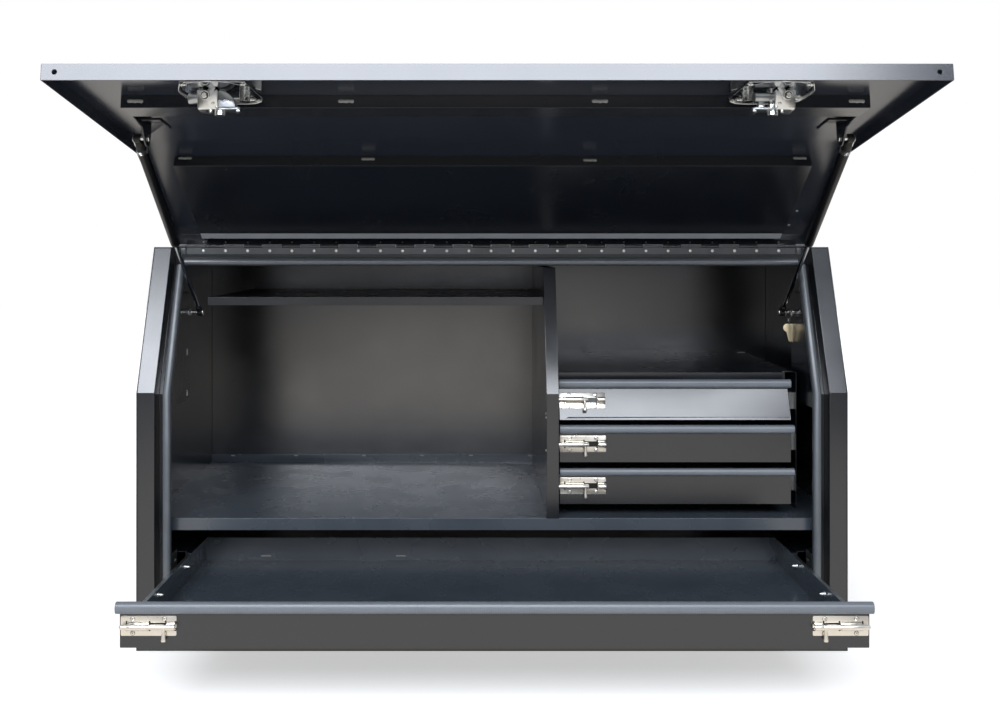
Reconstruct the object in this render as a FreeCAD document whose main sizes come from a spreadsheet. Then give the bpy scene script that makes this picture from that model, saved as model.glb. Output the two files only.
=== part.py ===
"""Side-opening tool box: a folded sheet-metal cabinet with a bent lid, four drawers and gas struts.

Millimetres, +X to the right, -Y to the front, +Z up. The origin is the middle of the base's underside.
The lid and the bottom drawer are modelled in their closed places and then placed open.
"""

import FreeCAD, Part
import os
import re

import Sketcher

os.makedirs("parts", exist_ok=True)
doc = FreeCAD.newDocument("tool_box")

# Driving sizes, one spreadsheet cell each
SIZES = {
    # Cabinet shell
    "cabinet_width": 1400.0,
    "cabinet_depth": 620.0,
    "cabinet_height": 795.0,
    "front_height": 508.0,
    "slope_run": 121.5,
    "sheet": 2.0,
    # Door frame round the opening
    "jamb_face": 36.0,
    "groove_width": 22.0,
    "groove_depth": 36.0,
    "upstand_tip": 14.0,
    "sill_height": 39.0,
    "header_drop": 21.6589,
    "header_tip": 28.0,
    "header_flange": 25.0,
    "seal_width": 16.0,
    "seal_front": -2.0,
    "seal_back": 20.0,
    "header_seal_front": 20.5,
    "header_seal_back": 36.0,
    # Inside of the cabinet
    "floor_height": 254.0,
    "floor_set_in": 32.0,
    "floor_flange": 24.0,
    "floor_upturn": 20.0,
    "floor_side_gap": 1.0,
    "divider_left": 109.0,
    "divider_width": 25.0,
    "divider_set_in": 30.0,
    "divider_top_gap": 6.5,
    "shelf_drop": 104.0,
    "shelf_side_gap": 108.0,
    "shelf_set_in": 126.0,
    "shelf_flange": 15.0,
    "shelf_lip": 8.0,
    "bank_height": 282.0,
    "bank_side_gap": 70.0,
    "bank_set_in": 107.0,
    "bank_flange": 16.0,
    "bank_notch_depth": 24.0,
    # Strut mounts on the side walls
    "mount_depth": 57.0,
    "mount_low": 473.0,
    "mount_drop": 95.0,
    "mount_rear": 185.0,
    "mount_set_in": 37.0,
    # Lid
    "lid_gap": 2.5,
    "lid_proud": 5.8,
    "lid_flange": 25.0,
    "lid_rear_flange": 27.0,
    "lid_sill_gap": 4.2,
    "lid_open_angle": 98.36,
    "lip_hole_radius": 3.5,
    "lip_hole_from_end": 20.0,
    "stiffener_from_lip": 154.7,
    "stiffener_width": 52.0,
    "stiffener_depth": 21.0,
    "stiffener_end_gap": 105.5,
    "stiffener_sheet": 1.6,
    "inner_panel_from_bend": 43.0,
    "inner_panel_length": 260.0,
    "inner_panel_depth": 23.0,
    "inner_panel_end_gap": 97.0,
    "inner_panel_sheet": 1.2,
    # Piano hinge
    "hinge_behind_edge": 27.6,
    "hinge_rise": 2.0,
    "hinge_setback": 2.2,
    "hinge_end_gap": 60.0,
    "knuckle_radius": 2.6,
    "knuckle_length": 40.0,
    "knuckle_gap": 0.3,
    "knuckle_window": 3.4,
    "hinge_pin_radius": 1.25,
    "hinge_pin_clearance": 0.1,
    "leaf_thickness": 1.2,
    "cabinet_leaf_width": 17.0,
    "lid_leaf_width": 12.0,
    "lid_leaf_behind": 2.1,
    "hinge_rivet_pitch": 46.5,
    "hinge_rivet_radius": 2.9,
    "hinge_rivet_head": 1.1,
    "lid_rivet_radius": 1.8,
    # Locks
    "lock_set_in": 282.0,
    "lock_from_lip": 82.0,
    "pan_length": 125.0,
    "pan_width": 108.0,
    "pan_sheet": 2.5,
    "pan_rim": 7.0,
    "pan_depth": 18.0,
    "pan_fit": 0.3,
    "paddle_length": 78.0,
    "paddle_width": 34.0,
    "paddle_thickness": 7.0,
    "paddle_float": 2.0,
    "lock_shaft_radius": 6.0,
    "lock_knob_radius": 8.5,
    "lock_reach": 56.0,
    "lock_shaft_fit": 0.3,
    "lock_block_width": 36.0,
    "lock_block_height": 38.0,
    "lock_block_top": 42.0,
    "lock_arm_radius": 8.0,
    "lock_arm_length": 22.0,
    "claw_near": 44.5,
    "claw_thickness": 4.0,
    "claw_reach": 48.0,
    "claw_width": 20.0,
    "barrel_radius": 8.0,
    "barrel_offset": 36.0,
    "barrel_reach": 34.0,
    "barrel_fit": 0.3,
    "barrel_boss_radius": 11.0,
    "barrel_boss_reach": 30.0,
    "barrel_proud": 2.0,
    "key_slot_width": 2.0,
    "key_slot_height": 8.0,
    "key_slot_depth": 10.0,
    "striker_width": 40.0,
    "striker_top": 88.0,
    # Gas struts
    "strut_set_in": 80.0,
    "strut_upper_from_lip": 324.0,
    "strut_upper_depth": 30.0,
    "strut_lower_set_in": 175.0,
    "strut_lower_drop": 138.0,
    "strut_tube_radius": 9.0,
    "strut_tube_length": 290.0,
    "strut_tube_wall": 1.5,
    "strut_rod_radius": 4.0,
    "strut_gland_length": 10.0,
    "strut_gland_fit": 0.3,
    "strut_piston_radius": 7.0,
    "strut_piston_length": 12.0,
    "strut_rod_length": 255.0,
    "eyelet_radius": 8.0,
    "eyelet_width": 10.0,
    "strut_neck_radius": 4.7,
    "strut_neck_length": 15.0,
    "stud_radius": 4.0,
    "stud_fit": 0.3,
    "stud_head_radius": 6.5,
    "stud_head": 3.0,
    "bracket_sheet": 3.0,
    "bracket_gap": 10.0,
    "bracket_height": 45.0,
    "bracket_width": 34.0,
    "bracket_arm": 42.0,
    "bracket_arm_width": 12.0,
    "bracket_tip": 5.0,
    # Drawers in the bank
    "tray_sheet": 1.5,
    "drawer_face_set_in": 50.0,
    "drawer_left_gap": 3.0,
    "drawer_right_gap": 26.0,
    "drawer_lip_over": 6.0,
    "drawer_lip_proud": 8.0,
    "tray_left_gap": 19.0,
    "tray_right_set_in": 2.0,
    "tray_depth": 500.0,
    "tray_lift": 4.0,
    "tray_wall_rise": -4.0,
    "lip_chamfer_share": 0.25,
    "top_drawer_rise": 193.0,
    "top_drawer_face": 61.0,
    "top_drawer_lip": 18.0,
    "middle_drawer_rise": 108.0,
    "middle_drawer_face": 58.0,
    "middle_drawer_lip": 17.0,
    "lower_drawer_rise": 24.0,
    "lower_drawer_face": 57.0,
    "lower_drawer_lip": 15.0,
    "slide_height": 34.0,
    "slide_sheet": 1.5,
    "slide_gap": 0.5,
    "slide_reach": 13.0,
    "slide_rise": 12.0,
    "slide_front_set_in": 122.0,
    "slide_rear_gap": 6.0,
    "slide_packer": 9.0,
    # Bottom drawer
    "bottom_face_set_in": 70.0,
    "bottom_travel": 402.6,
    "bottom_low": 126.0,
    "bottom_face": 57.0,
    "bottom_lip": 20.0,
    "bottom_lip_proud": 9.0,
    "bottom_side_gap": 75.0,
    "bottom_lip_over": 6.0,
    "bottom_tray_set_in": 21.0,
    "bottom_tray_depth": 505.0,
    "bottom_rail_set_back": 2.0,
    "bottom_slide_rise": 10.0,
    "wall_rivet_radius": 4.5,
    "wall_rivet_head": 1.5,
    "wall_rivet_rise": 39.0,
    "wall_rivet_first": 157.0,
    "wall_rivet_spacing": 179.0,
    "bottom_rail_set_in": 84.0,
    "bottom_rail_margin": 4.0,
    # Barrel bolts
    "bolt_length": 93.0,
    "bolt_plate_width": 33.0,
    "bolt_plate": 1.5,
    "bolt_radius": 4.0,
    "bolt_fit": 0.3,
    "bolt_axis": 8.5,
    "near_tube_length": 36.0,
    "far_tube_length": 15.0,
    "bolt_tube_wall": 1.5,
    "bolt_tip_clearance": 0.8,
    "bolt_throw": 20.0,
    "bolt_knob_radius": 5.0,
    "bolt_knob_reach": 19.0,
    "bolt_stem_radius": 2.6,
    "bolt_screw_radius": 3.4,
    "bolt_screw_head": 1.2,
    "bolt_rise": 37.0,
    "bolt_screw_from_end": 20.0,
    "bolt_screw_rise": 12.0,
    "bolt_rod_length": 80.0,
    "bolt_knob_from_tip": 73.2,
    "bolt_edge": 2.0,
    "near_tube_from_start": 12.0,
    "far_tube_from_start": 77.0,
    "keeper_depth": 42.0,
    "keeper_height": 34.0,
    "hole_fit": 0.6,
    # Keys on the right lower stud
    "key_ring_radius": 9.5,
    "key_ring_wire": 0.9,
    "key_length": 42.0,
    "key_bow_radius": 8.5,
    "key_blade_width": 8.0,
    "key_thickness": 1.8,
    "key_stand_off": 14.0,
    "key_bow_hole": 3.2,
    "key_hole_edge": 2.0,
    "key_step": 3.0,
    "key_tilt": 14.0,
    # One overrun serves every cut
    "overrun": 1.0,
}

# Sizes that follow from the driving ones
DERIVED = {
    "half_width": "cabinet_width / 2",
    "wall_inner": "half_width - sheet",
    "front_y": "-cabinet_depth / 2",
    "back_y": "cabinet_depth / 2",
    "back_inner": "back_y - sheet",
    "top_inner": "cabinet_height - sheet",
    "slope_rise": "cabinet_height - front_height",
    "slope_angle": "atan(slope_run / slope_rise)",
    "jamb_edge": "half_width - jamb_face",
    "upstand_out": "jamb_edge - groove_width",
    "upstand_in": "upstand_out - sheet",
    "sill_upstand": "sill_height + groove_width",
    "seal_middle": "upstand_in + sheet / 2",
    "seal_sill_middle": "sill_upstand + sheet / 2",
    "hinge_y": "front_y + slope_run + hinge_behind_edge",
    "hinge_z": "cabinet_height + hinge_rise",
    "hinge_along": "(hinge_y - front_y) * sin(slope_angle) + (hinge_z - front_height) * cos(slope_angle)",
    "hinge_inset": "(hinge_y - front_y) * cos(slope_angle) - (hinge_z - front_height) * sin(slope_angle)",
    "header_y": "hinge_y + hinge_setback",
    "header_along": "slope_rise / cos(slope_angle) - header_drop",
    "header_low": "front_height + header_along * cos(slope_angle) - header_inset * sin(slope_angle)",
    "header_inset": "(header_y - front_y - header_along * sin(slope_angle)) / cos(slope_angle)",
    "skin": "-lid_proud",
    "skin_inner": "sheet - lid_proud",
    "lid_half": "jamb_edge - lid_gap",
    "lid_low": "sill_height + lid_sill_gap",
    "lid_end": "hinge_along + sheet / 2",
    "stiffener_low": "lid_low + stiffener_from_lip",
    "stiffener_face": "skin_inner + stiffener_depth",
    "inner_panel_start": "inner_panel_from_bend",
    "inner_panel_end": "inner_panel_start + inner_panel_length",
    "inner_panel_face": "skin_inner + inner_panel_depth",
    "lock_z": "lid_low + lock_from_lip",
    "lock_skin_y": "front_y - lid_proud",
    "pan_floor_y": "lock_skin_y + pan_depth",
    "strut_upper_y": "lock_skin_y + strut_upper_depth",
    "strut_upper_z": "lid_low + strut_upper_from_lip",
    "lid_turn": "lid_open_angle * 1 deg",
    "shelf_height": "cabinet_height - shelf_drop",
    "mount_high": "cabinet_height - mount_drop",
    "strut_lower_height": "cabinet_height - strut_lower_drop",
    "strut_behind": "strut_upper_y - hinge_y",
    "strut_above": "strut_upper_z - hinge_z",
    "strut_open_y": "hinge_y + strut_behind * cos(lid_turn) + strut_above * sin(lid_turn)",
    "strut_open_z": "hinge_z - strut_behind * sin(lid_turn) + strut_above * cos(lid_turn)",
    "bracket_face": "strut_x - eyelet_half - bracket_gap",
    "strut_lower_y": "front_y + strut_lower_set_in",
    "strut_lower_z": "strut_lower_height",
    "mount_face": "wall_inner - mount_depth",
    "strut_x": "wall_inner - strut_set_in",
    "lock_x": "half_width - lock_set_in",
    "stiffener_length": "cabinet_width - stiffener_end_gap * 2",
    "inner_panel_width": "cabinet_width - inner_panel_end_gap * 2",
    "hinge_length": "cabinet_width - hinge_end_gap * 2",
    "shelf_left": "wall_inner - shelf_side_gap",
    "bank_right": "wall_inner - bank_side_gap",
    "divider_right": "divider_left + divider_width",
    "drawer_left": "divider_right + drawer_left_gap",
    "drawer_right": "bank_right - drawer_right_gap",
    "drawer_lip_right": "drawer_right + drawer_lip_over",
    "tray_left": "divider_right + tray_left_gap",
    "tray_right": "drawer_right - tray_right_set_in",
    "bottom_half_width": "half_width - bottom_side_gap",
    "bottom_lip_half_width": "bottom_half_width + bottom_lip_over",
    "bottom_tray_half_width": "bottom_half_width - bottom_tray_set_in",
    "bottom_rail_inner": "bottom_half_width - bottom_rail_set_back",
    "key_hang": "strut_x + key_stand_off",
    "bank_top": "floor_height + bank_height",
    "bank_front_y": "front_y + bank_set_in",
    "face_y": "front_y + drawer_face_set_in",
    "slide_front_y": "front_y + slide_front_set_in",
    "slide_back_y": "face_y + tray_depth - slide_rear_gap",
    "bottom_face_y": "front_y + bottom_face_set_in",
    "keeper_z": "bottom_low + bolt_rise",
    "eyelet_half": "eyelet_width / 2",
    "eyelet_bore": "stud_radius + stud_fit",
}

sheet = doc.addObject("Spreadsheet::Sheet", "Sizes")
for row, (alias, value) in enumerate(SIZES.items(), start=1):
    sheet.set(f"A{row}", alias.replace("_", " "))
    sheet.set(f"B{row}", str(value))
    sheet.setAlias(f"B{row}", alias)
doc.recompute()

WORD = re.compile(r"[a-z]+(?:_[a-z]+)*")
ORIGIN_PLANE = {"x": "YZ_Plane", "y": "XZ_Plane", "z": "XY_Plane"}
nodes = []


def bind(text):
    """Turn a sum of named sizes into a FreeCAD expression on the spreadsheet."""

    def replace(match):
        word = match.group(0)
        if word in DERIVED:
            return f"({bind(DERIVED[word])})"
        if word in SIZES:
            return f"Sizes.{word}"
        return word

    return WORD.sub(replace, str(text))


def number(text):
    """The value of a sum of named sizes now."""
    return float(sheet.evalExpression(bind(text)))


def flip(side, low, high):
    """A range on the right side, or its mirror image on the left."""
    if side == "right":
        return low, high
    return f"-({high})", f"-({low})"


def signed(side, text):
    """A place on the right side, or its mirror image on the left."""
    return text if side == "right" else f"-({text})"


def set_base(piece, x="0", y="0", z="0"):
    """Bind the place of a piece."""
    for axis, text in zip("xyz", (x, y, z)):
        piece.setExpression(f"Placement.Base.{axis}", bind(text))
    return piece


def box(name, x, y, z):
    """A block between two named places on each axis."""
    block = doc.addObject("Part::Box", name)
    for side, (low, high) in zip(("Length", "Width", "Height"), (x, y, z)):
        block.setExpression(side, bind(f"({high}) - ({low})"))
    return set_base(block, x[0], y[0], z[0])


TURN_TO = {
    "x": FreeCAD.Rotation(FreeCAD.Vector(0, 1, 0), 90),
    "y": FreeCAD.Rotation(FreeCAD.Vector(1, 0, 0), -90),
    "z": FreeCAD.Rotation(),
}


def cylinder(name, axis, radius, start, length):
    """A round bar from a start point along +X, +Y or +Z."""
    bar = doc.addObject("Part::Cylinder", name)
    bar.setExpression("Radius", bind(radius))
    bar.setExpression("Height", bind(length))
    bar.Placement = FreeCAD.Placement(FreeCAD.Vector(), TURN_TO[axis])
    return set_base(bar, *start)


def ball(name, radius, centre):
    """A ball about a point."""
    sphere = doc.addObject("Part::Sphere", name)
    sphere.setExpression("Radius", bind(radius))
    return set_base(sphere, *centre)


def prism(name, axis, outline, low, high):
    """A body padded along an axis from a straight-sided outline of named places.

    The outline is (Y, Z) for axis x, (X, Z) for axis y and (X, Y) for axis z.
    """
    body = doc.addObject("PartDesign::Body", name)
    sketch = body.newObject("Sketcher::SketchObject", f"{name}_outline")
    plane = next(f for f in body.Origin.OriginFeatures if f.Role == ORIGIN_PLANE[axis])
    sketch.AttachmentSupport = [(plane, "")]
    sketch.MapMode = "FlatFace"
    corners = [FreeCAD.Vector(number(across), number(up), 0) for across, up in outline]
    count = len(corners)
    for index, corner in enumerate(corners):
        sketch.addGeometry(Part.LineSegment(corner, corners[(index + 1) % count]), False)
    for index in range(count):
        sketch.addConstraint(Sketcher.Constraint("Coincident", index, 2, (index + 1) % count, 1))
    for index, (corner, texts) in enumerate(zip(corners, outline)):
        for kind, value, text in zip(("DistanceX", "DistanceY"), corner, texts):
            place = sketch.addConstraint(Sketcher.Constraint(kind, -1, 1, index, 1, value))
            sketch.setExpression(f"Constraints[{place}]", bind(text))
    pad = body.newObject("PartDesign::Pad", f"{name}_pad")
    pad.Profile = sketch
    pad.setExpression("Length", bind(f"({high}) - ({low})"))
    sketch.Visibility = False
    # A pad on the XZ plane grows towards -Y
    return set_base(body, **{axis: high if axis == "y" else low})


def fuse(name, pieces):
    """Several blocks welded into one piece."""
    if len(pieces) == 1:
        return pieces[0]
    welded = doc.addObject("Part::MultiFuse", name)
    welded.Shapes = pieces
    return welded


def cut(name, base, tools):
    """A piece with its holes cut."""
    holed = doc.addObject("Part::Cut", name)
    holed.Base = base
    holed.Tool = fuse(f"{name}_tools", tools)
    return holed


def group(name, pieces):
    """Separate solids that share a node."""
    together = doc.addObject("Part::Compound", name)
    together.Links = pieces
    return together


def node(label, piece):
    """Give a finished sub-part its name and keep it for the export."""
    piece.Label = label
    nodes.append(piece)
    return piece


# Places on the folded front profile


def bend_height(inset):
    """Height of the fold at a depth behind the front profile."""
    return f"(front_height - ({inset}) * tan(slope_angle / 2))"


def upright(inset):
    """Y of the lower, upright stretch at a depth behind the front profile."""
    return f"(front_y + ({inset}))"


def slope_at(inset, height):
    """Y of the sloped stretch at a depth and a height."""
    return f"(front_y + ({inset}) / cos(slope_angle) + (({height}) - front_height) * tan(slope_angle))"


def on_slope(inset, along):
    """(Y, Z) at a depth behind the slope and a distance up it from the fold line."""
    return (
        f"(front_y + ({along}) * sin(slope_angle) + ({inset}) * cos(slope_angle))",
        f"(front_height + ({along}) * cos(slope_angle) - ({inset}) * sin(slope_angle))",
    )


def band(name, near, far, low, high, x):
    """A folded strip between two depths, cut level at its top and bottom."""
    outline = [
        (upright(near), low),
        (upright(near), bend_height(near)),
        (slope_at(near, high), high),
        (slope_at(far, high), high),
        (upright(far), bend_height(far)),
        (upright(far), low),
    ]
    return prism(name, "x", outline, *x)


# Cabinet shell


def cabinet_shell():
    """Base, back, top and the two sides."""
    across = ("-wall_inner", "wall_inner")
    node("base_panel", box("base", across, ("front_y", "back_y"), ("0", "sheet")))
    node("back_panel", box("back", across, ("back_inner", "back_y"), ("sheet", "top_inner")))
    ear = slope_at("0", "cabinet_height")
    outline = [
        ("-wall_inner", "back_y"),
        ("-wall_inner", ear),
        ("-jamb_edge", ear),
        ("-jamb_edge", "header_y"),
        ("jamb_edge", "header_y"),
        ("jamb_edge", ear),
        ("wall_inner", ear),
        ("wall_inner", "back_y"),
    ]
    node("top_panel", prism("top", "z", outline, "top_inner", "cabinet_height"))
    profile = [
        ("front_y", "0"),
        ("back_y", "0"),
        ("back_y", "cabinet_height"),
        (ear, "cabinet_height"),
        ("front_y", "front_height"),
    ]
    for side in ("left", "right"):
        wall = flip(side, "wall_inner", "half_width")
        node(f"{side}_side_panel", prism(f"{side}_side", "x", profile, *wall))


def door_frame():
    """Jambs, sill and header: a face flange, a rain groove and an upstand that carries the seal."""
    groove_floor = "groove_depth - sheet"
    for side in ("left", "right"):
        face = flip(side, "jamb_edge", "wall_inner")
        wall = flip(side, "jamb_edge", "jamb_edge + sheet")
        floor = flip(side, "upstand_in", "jamb_edge")
        upstand = flip(side, "upstand_in", "upstand_out")
        strips = [
            band(f"{side}_jamb_face", "0", "sheet", "sheet", "top_inner", face),
            band(f"{side}_jamb_wall", "sheet", "groove_depth", "sheet", "top_inner", wall),
            band(f"{side}_jamb_floor", groove_floor, "groove_depth", "sill_height", "header_low", floor),
            band(f"{side}_jamb_edge", "upstand_tip", "groove_depth", "sill_upstand", "header_low", upstand),
        ]
        node(f"{side}_jamb", fuse(f"{side}_jamb_weld", strips))

    sill_width = ("-jamb_edge", "jamb_edge")
    inner_width = ("-upstand_in", "upstand_in")
    sill_wall = "sill_height - sheet"
    groove_back = upright("groove_depth")
    groove_front = upright(groove_floor)
    sill = [
        box("sill_face", sill_width, ("front_y", "front_y + sheet"), ("sheet", "sill_height")),
        box("sill_wall", sill_width, ("front_y", groove_back), (sill_wall, "sill_height")),
        box("sill_floor", inner_width, (groove_front, groove_back), (sill_wall, "sill_upstand + sheet")),
        box(
            "sill_upstand",
            inner_width,
            (upright("upstand_tip"), groove_back),
            ("sill_upstand", "sill_upstand + sheet"),
        ),
    ]
    node("sill_rail", fuse("sill_weld", sill))

    header_back = "header_y + header_flange"
    upstand = [
        on_slope("header_tip", "header_along - sheet / 2"),
        on_slope("header_inset + sheet / 2", "header_along - sheet / 2"),
        on_slope("header_inset + sheet / 2", "header_along + sheet / 2"),
        on_slope("header_tip", "header_along + sheet / 2"),
    ]
    header = [
        box("header_face", sill_width, ("header_y", "header_y + sheet"), ("header_low", "top_inner")),
        box("header_under", sill_width, ("header_y", header_back), ("header_low", "header_low + sheet")),
        prism("header_upstand", "x", upstand, *inner_width),
    ]
    node("header_rail", fuse("header_weld", header))


def seal_bulb():
    """Rubber trim pushed over the upstands: a bent ring on the sides and sill, and a strip on the header."""
    half = "seal_width / 2"
    outer = f"seal_middle + {half}"
    inner = f"seal_middle - {half}"
    sill_low = f"seal_sill_middle - {half}"
    sill_high = f"seal_sill_middle + {half}"
    top = "header_low"
    ring = band("seal_ring", "seal_front", "seal_back", sill_low, top, (f"-({outer})", outer))
    opening = band(
        "seal_opening",
        "seal_front - overrun",
        "seal_back + overrun",
        sill_high,
        f"{top} + overrun",
        (f"-({inner})", inner),
    )
    slots = [
        band(
            f"seal_slot_{side}",
            "upstand_tip",
            "seal_back + overrun",
            sill_low + " - overrun",
            f"{top} + overrun",
            flip(side, "upstand_in", "upstand_out"),
        )
        for side in ("left", "right")
    ]
    sill_slot = box(
        "seal_slot_sill",
        ("-upstand_out", "upstand_out"),
        (upright("upstand_tip"), upright("seal_back + overrun")),
        ("sill_upstand", "sill_upstand + sheet"),
    )
    ring = cut("seal_loop", ring, [opening, *slots, sill_slot])

    def strip(name, near, far, reach, length):
        corners = [
            on_slope(near, f"header_along - {reach}"),
            on_slope(far, f"header_along - {reach}"),
            on_slope(far, f"header_along + {reach}"),
            on_slope(near, f"header_along + {reach}"),
        ]
        return prism(name, "x", corners, f"-({length})", length)

    header = strip("seal_header", "header_seal_front", "header_seal_back", half, inner)
    slot = strip("seal_header_slot", "header_tip", "header_seal_back + overrun", "sheet / 2", outer)
    node("door_seal", group("door_seal_set", [ring, cut("seal_header_strip", header, [slot])]))


def inner_panels():
    """Main floor, divider, upper shelf and the drawer bank's top and side."""
    floor_y = upright("floor_set_in")
    clear_y = upright("groove_depth + sheet")
    narrow = "upstand_in - floor_side_gap"
    wide = "wall_inner"
    under = "floor_height - sheet"
    outline = [
        (f"-({narrow})", floor_y),
        (narrow, floor_y),
        (narrow, clear_y),
        (wide, clear_y),
        (wide, "back_inner"),
        (f"-({wide})", "back_inner"),
        (f"-({wide})", clear_y),
        (f"-({narrow})", clear_y),
    ]
    flange = ("floor_height - floor_flange", "floor_height")
    upturn = ("floor_height", "floor_height + floor_upturn")
    pieces = [
        prism("floor_sheet", "z", outline, under, "floor_height"),
        box("floor_flange_strip", (f"-({narrow})", narrow), (floor_y, f"{floor_y} + sheet"), flange),
        box("floor_back", ("-wall_inner", "wall_inner"), ("back_inner - sheet", "back_inner"), upturn),
    ]
    node("main_floor", fuse("floor_fold", pieces))

    low = "floor_height"
    high = "header_low - divider_top_gap"
    rear = "back_inner - sheet"
    web = [
        (upright("divider_set_in"), low),
        (upright("divider_set_in"), bend_height("divider_set_in")),
        (slope_at("divider_set_in", high), high),
        (rear, high),
        (rear, low),
    ]
    divider = [
        prism("divider_left_web", "x", web, "divider_left", "divider_left + sheet"),
        prism("divider_right_web", "x", web, "divider_right - sheet", "divider_right"),
        band(
            "divider_face",
            "divider_set_in",
            "divider_set_in + sheet",
            low,
            high,
            ("divider_left", "divider_right"),
        ),
    ]
    holes = [
        cylinder(
            f"divider_hole_{name}",
            "x",
            "bolt_radius + hole_fit",
            ("divider_right - sheet - overrun", bolt_y(name), bolt_z(name)),
            "sheet + overrun * 2",
        )
        for name in BANK_DRAWERS
    ]
    node("divider_panel", cut("divider_holed", fuse("divider_fold", divider), holes))

    front = upright("shelf_set_in")
    fold = "shelf_height - shelf_flange"
    across = ("-shelf_left", "divider_left")
    shelf = [
        box("shelf_sheet", across, (front, "back_inner"), ("shelf_height - sheet", "shelf_height")),
        box("shelf_front", across, (front, f"{front} + sheet"), (fold, "shelf_height")),
        box("shelf_return", across, (front, f"{front} + shelf_lip"), (f"{fold} - sheet", fold)),
    ]
    node("upper_shelf", fuse("shelf_fold", shelf))

    notch_x = "drawer_lip_right - sheet"
    notch_y = "bank_front_y + bank_notch_depth"
    outline = [
        ("divider_right", "bank_front_y"),
        (notch_x, "bank_front_y"),
        (notch_x, notch_y),
        ("bank_right", notch_y),
        ("bank_right", "back_inner"),
        ("divider_right", "back_inner"),
    ]
    bank = [
        prism("bank_sheet", "z", outline, "bank_top - sheet", "bank_top"),
        box(
            "bank_front",
            ("divider_right", notch_x),
            ("bank_front_y", "bank_front_y + sheet"),
            ("bank_top - bank_flange", "bank_top"),
        ),
    ]
    node("drawer_bank_top", fuse("bank_fold", bank))
    side = [
        ("bank_front_y", "floor_height"),
        ("back_inner - sheet", "floor_height"),
        ("back_inner - sheet", "bank_top"),
        ("bank_front_y", "bank_top"),
    ]
    node("drawer_bank_side", prism("bank_side", "x", side, "bank_right", "bank_right + sheet"))


def strut_mounts():
    """Boxed plates welded to the side walls, and the studs that the struts' lower ends turn on."""
    rear = upright("mount_rear")
    mounts = []
    studs = []
    for side in ("left", "right"):
        face = [
            (upright("mount_set_in"), "mount_low"),
            (upright("mount_set_in"), bend_height("mount_set_in")),
            (slope_at("mount_set_in", "mount_high"), "mount_high"),
            (rear, "mount_high"),
            (rear, "mount_low"),
        ]
        depth = flip(side, "mount_face", "wall_inner")
        skin = prism(f"{side}_mount_face", "x", face, *flip(side, "mount_face", "mount_face + sheet"))
        upper = (slope_at("mount_set_in", "mount_high"), rear)
        lower = (upright("mount_set_in"), rear)
        parts = [
            skin,
            box(f"{side}_mount_top", depth, upper, ("mount_high - sheet", "mount_high")),
            box(f"{side}_mount_foot", depth, lower, ("mount_low", "mount_low + sheet")),
            box(f"{side}_mount_rear", depth, (f"{rear} - sheet", rear), ("mount_low", "mount_high")),
        ]
        mounts.append(fuse(f"{side}_mount", parts))
        studs.append(stud(f"{side}_lower_stud", side, "strut_lower_y", "strut_lower_z", "mount_face", -1))
    node("strut_mount_plates", group("mount_pair", mounts))
    node("cabinet_ball_studs", group("lower_stud_pair", studs))


def stud(name, side, y, z, seat, toward):
    """A shouldered stud from its seat through an eyelet on the struts' plane, with a retaining head."""
    sign = "+" if toward > 0 else "-"
    tip = f"strut_x {sign} (eyelet_half + stud_fit)"
    end = f"{tip} {sign} stud_head"
    shank = (seat, tip) if toward > 0 else (tip, seat)
    head = (tip, end) if toward > 0 else (end, tip)
    parts = []
    for part, radius, span in (("shank", "stud_radius", shank), ("head", "stud_head_radius", head)):
        low, high = flip(side, *span)
        parts.append(cylinder(f"{name}_{part}", "x", radius, (low, y, z), f"({high}) - ({low})"))
    return fuse(name, parts)


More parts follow.
